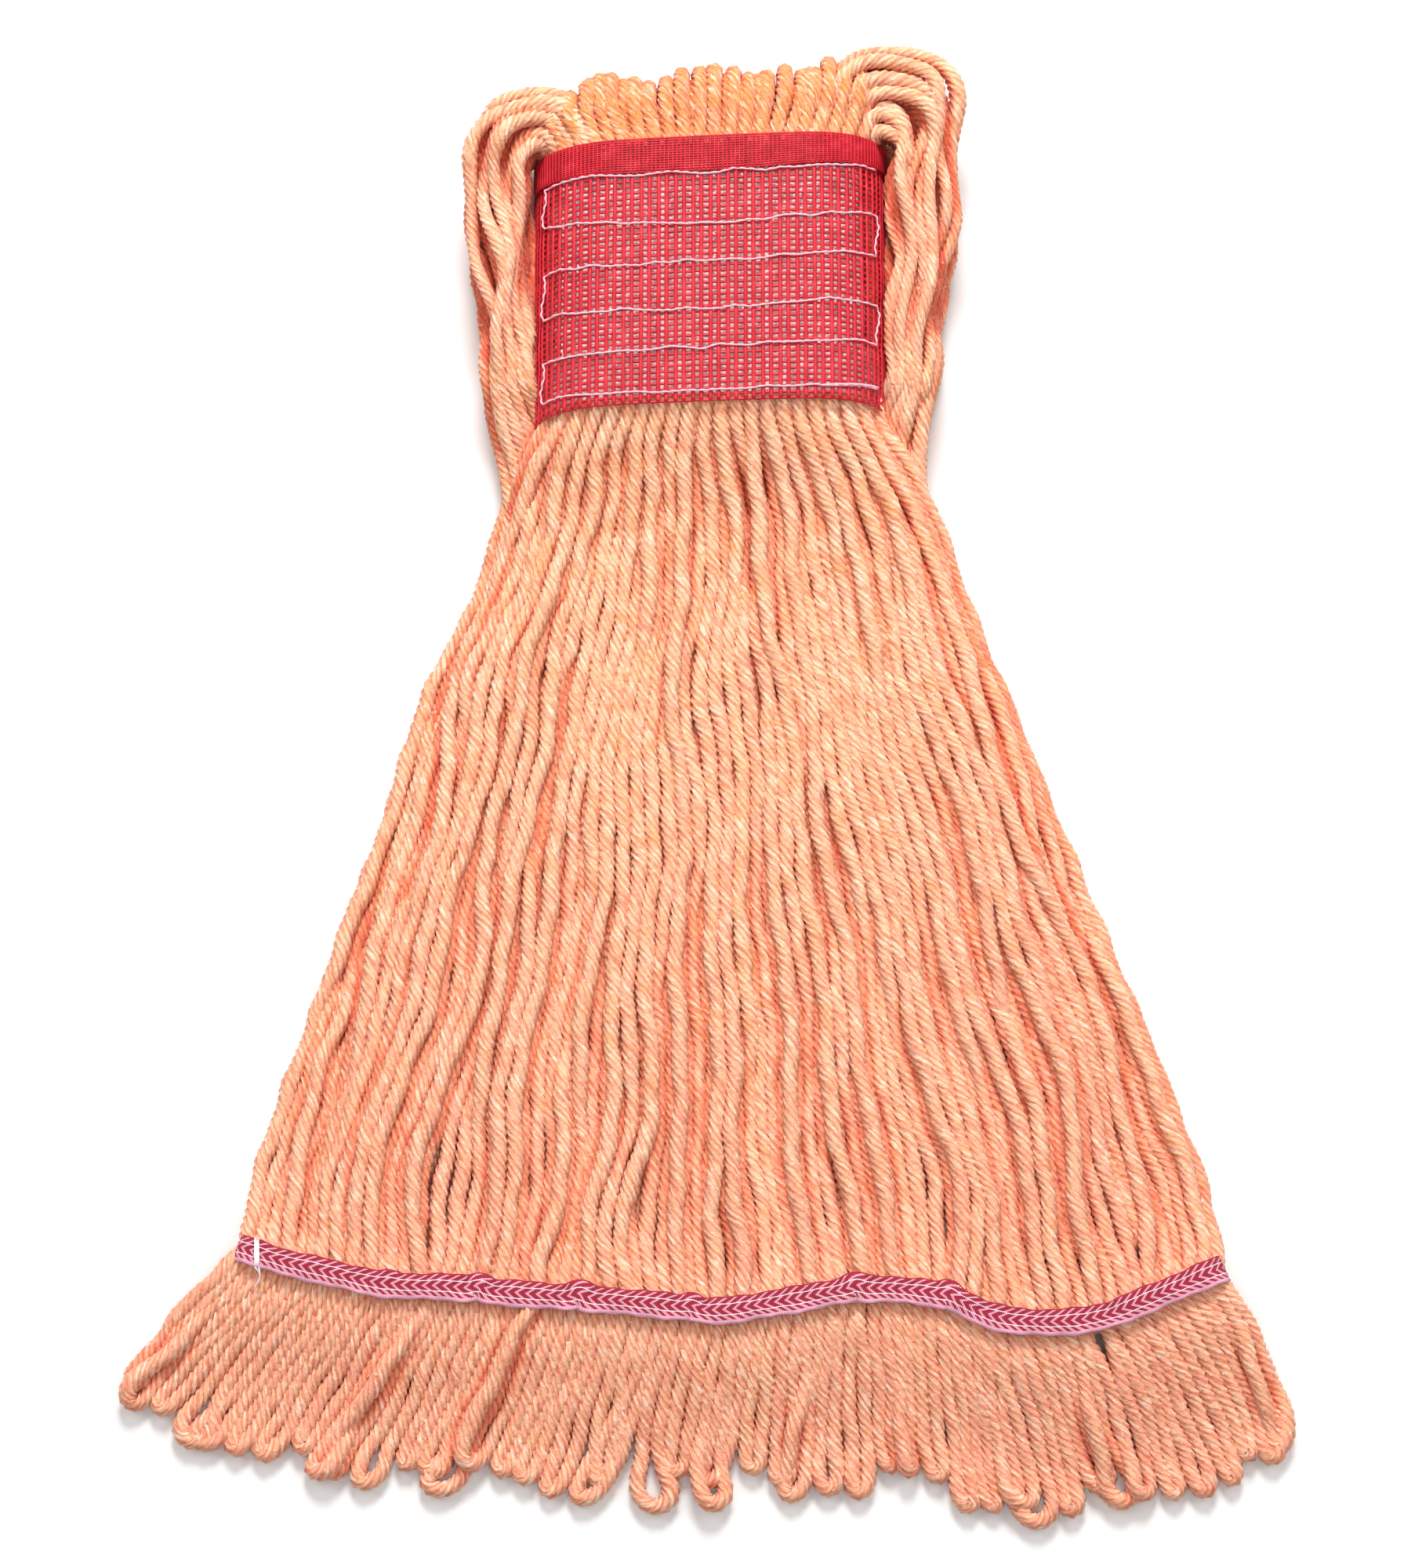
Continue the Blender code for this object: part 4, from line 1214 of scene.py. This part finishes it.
# The tape is drawn in at places, which lifts its edges into small peaks.
PINCHES = (
    (-0.134, 0.0008), (-0.097, 0.0024), (-0.055, 0.0026), (-0.008, 0.0018), (0.061, 0.0022), (0.100, 0.0020)
)
peak = sum(size * np.exp(-(((front_line[:, 0] - x) / 0.0034) ** 2)) for x, size in PINCHES)
front_line[:, 1] += 0.6 * peak
half = TAPE_WIDTH / 2 - 0.0008 + 0.35 * peak + 0.0003 * np.sin(front_line[:, 0] / 0.0046)
half += 0.00022 * np.sin(front_line[:, 0] / 0.0017)
ripple = 0.0005 * np.sin(front_line[:, 0] / 0.0023) + 0.0004 * np.sin(front_line[:, 0] / 0.0071)
over = np.concatenate([front_line, np.full((TAPE_SPOTS, 1), 0.0242)], axis=1)
end_drop = np.clip((np.abs(np.linspace(-1, 1, TAPE_SPOTS)) - 0.965) / 0.035, 0, 1)
over[:, 2] -= 0.0055 * end_drop**2
tape_top = ribbon("front_tape_over", over, half, ripple, "front_half")
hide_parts("front_tail_tape_top")
under = over.copy()
under[:, 2] = 0.0140 + 0.0040 * end_drop**2
tape_under = ribbon("front_tape_under", under, half * 0 + TAPE_WIDTH / 2 - 0.0006, ripple * 0.5, "front_half")
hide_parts("front_tail_tape_under")
for name, z in (("top", 0.0122), ("under", 0.0011)):
    x = np.linspace(-0.1480, 0.1580, 200)
    line = np.stack([x, np.full(200, BACK_TAPE_Y), np.full(200, z)], axis=1)
    ripple = 0.0003 * np.sin(x / 0.003)
    piece = ribbon(f"back_tape_{name}", line, np.full(200, TAPE_WIDTH / 2), ripple, "back_half")
    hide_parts(f"back_tail_tape_{name}")

# The bar tack: white thread zigzagged across the tape near its left end, with two cut tails.
tack_x = -0.1905
centre = curve_through(TAPE_LINE, np.linspace(0, 1, 400))
at = centre[np.argmin(np.abs(centre[:, 0] - tack_x))]
zigzag = []
for k in range(12):
    side = -1 if k % 2 else 1
    zigzag.append((tack_x + 0.00016 * k - 0.0009, at[1] + side * 0.0064, 0.0249))
    zigzag.append((tack_x + 0.00016 * k - 0.0008, at[1], 0.0256))
white = surface("white_thread", 0.6, colour=(0.95, 0.90, 0.91))[0]
tack_tubes = [round_tube(np.array(zigzag), 0.00028)]
for start, sway, drop in ((-0.0007, 0.0022, 0.0062), (0.0009, -0.0012, 0.0085)):
    t = np.linspace(0, 1, 14)
    x = tack_x + start + sway * t + 0.0010 * np.sin(4.0 * t)
    tail = np.stack([x, at[1] - 0.0062 - drop * t, 0.0250 - 0.0045 * t**1.5], axis=1)
    tack_tubes.append(round_tube(tail, 0.00026))
tack = tubes_mesh("front_tape_bar_tack", tack_tubes, white)
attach(tack, "front_half")
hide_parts("front_bar_tack")
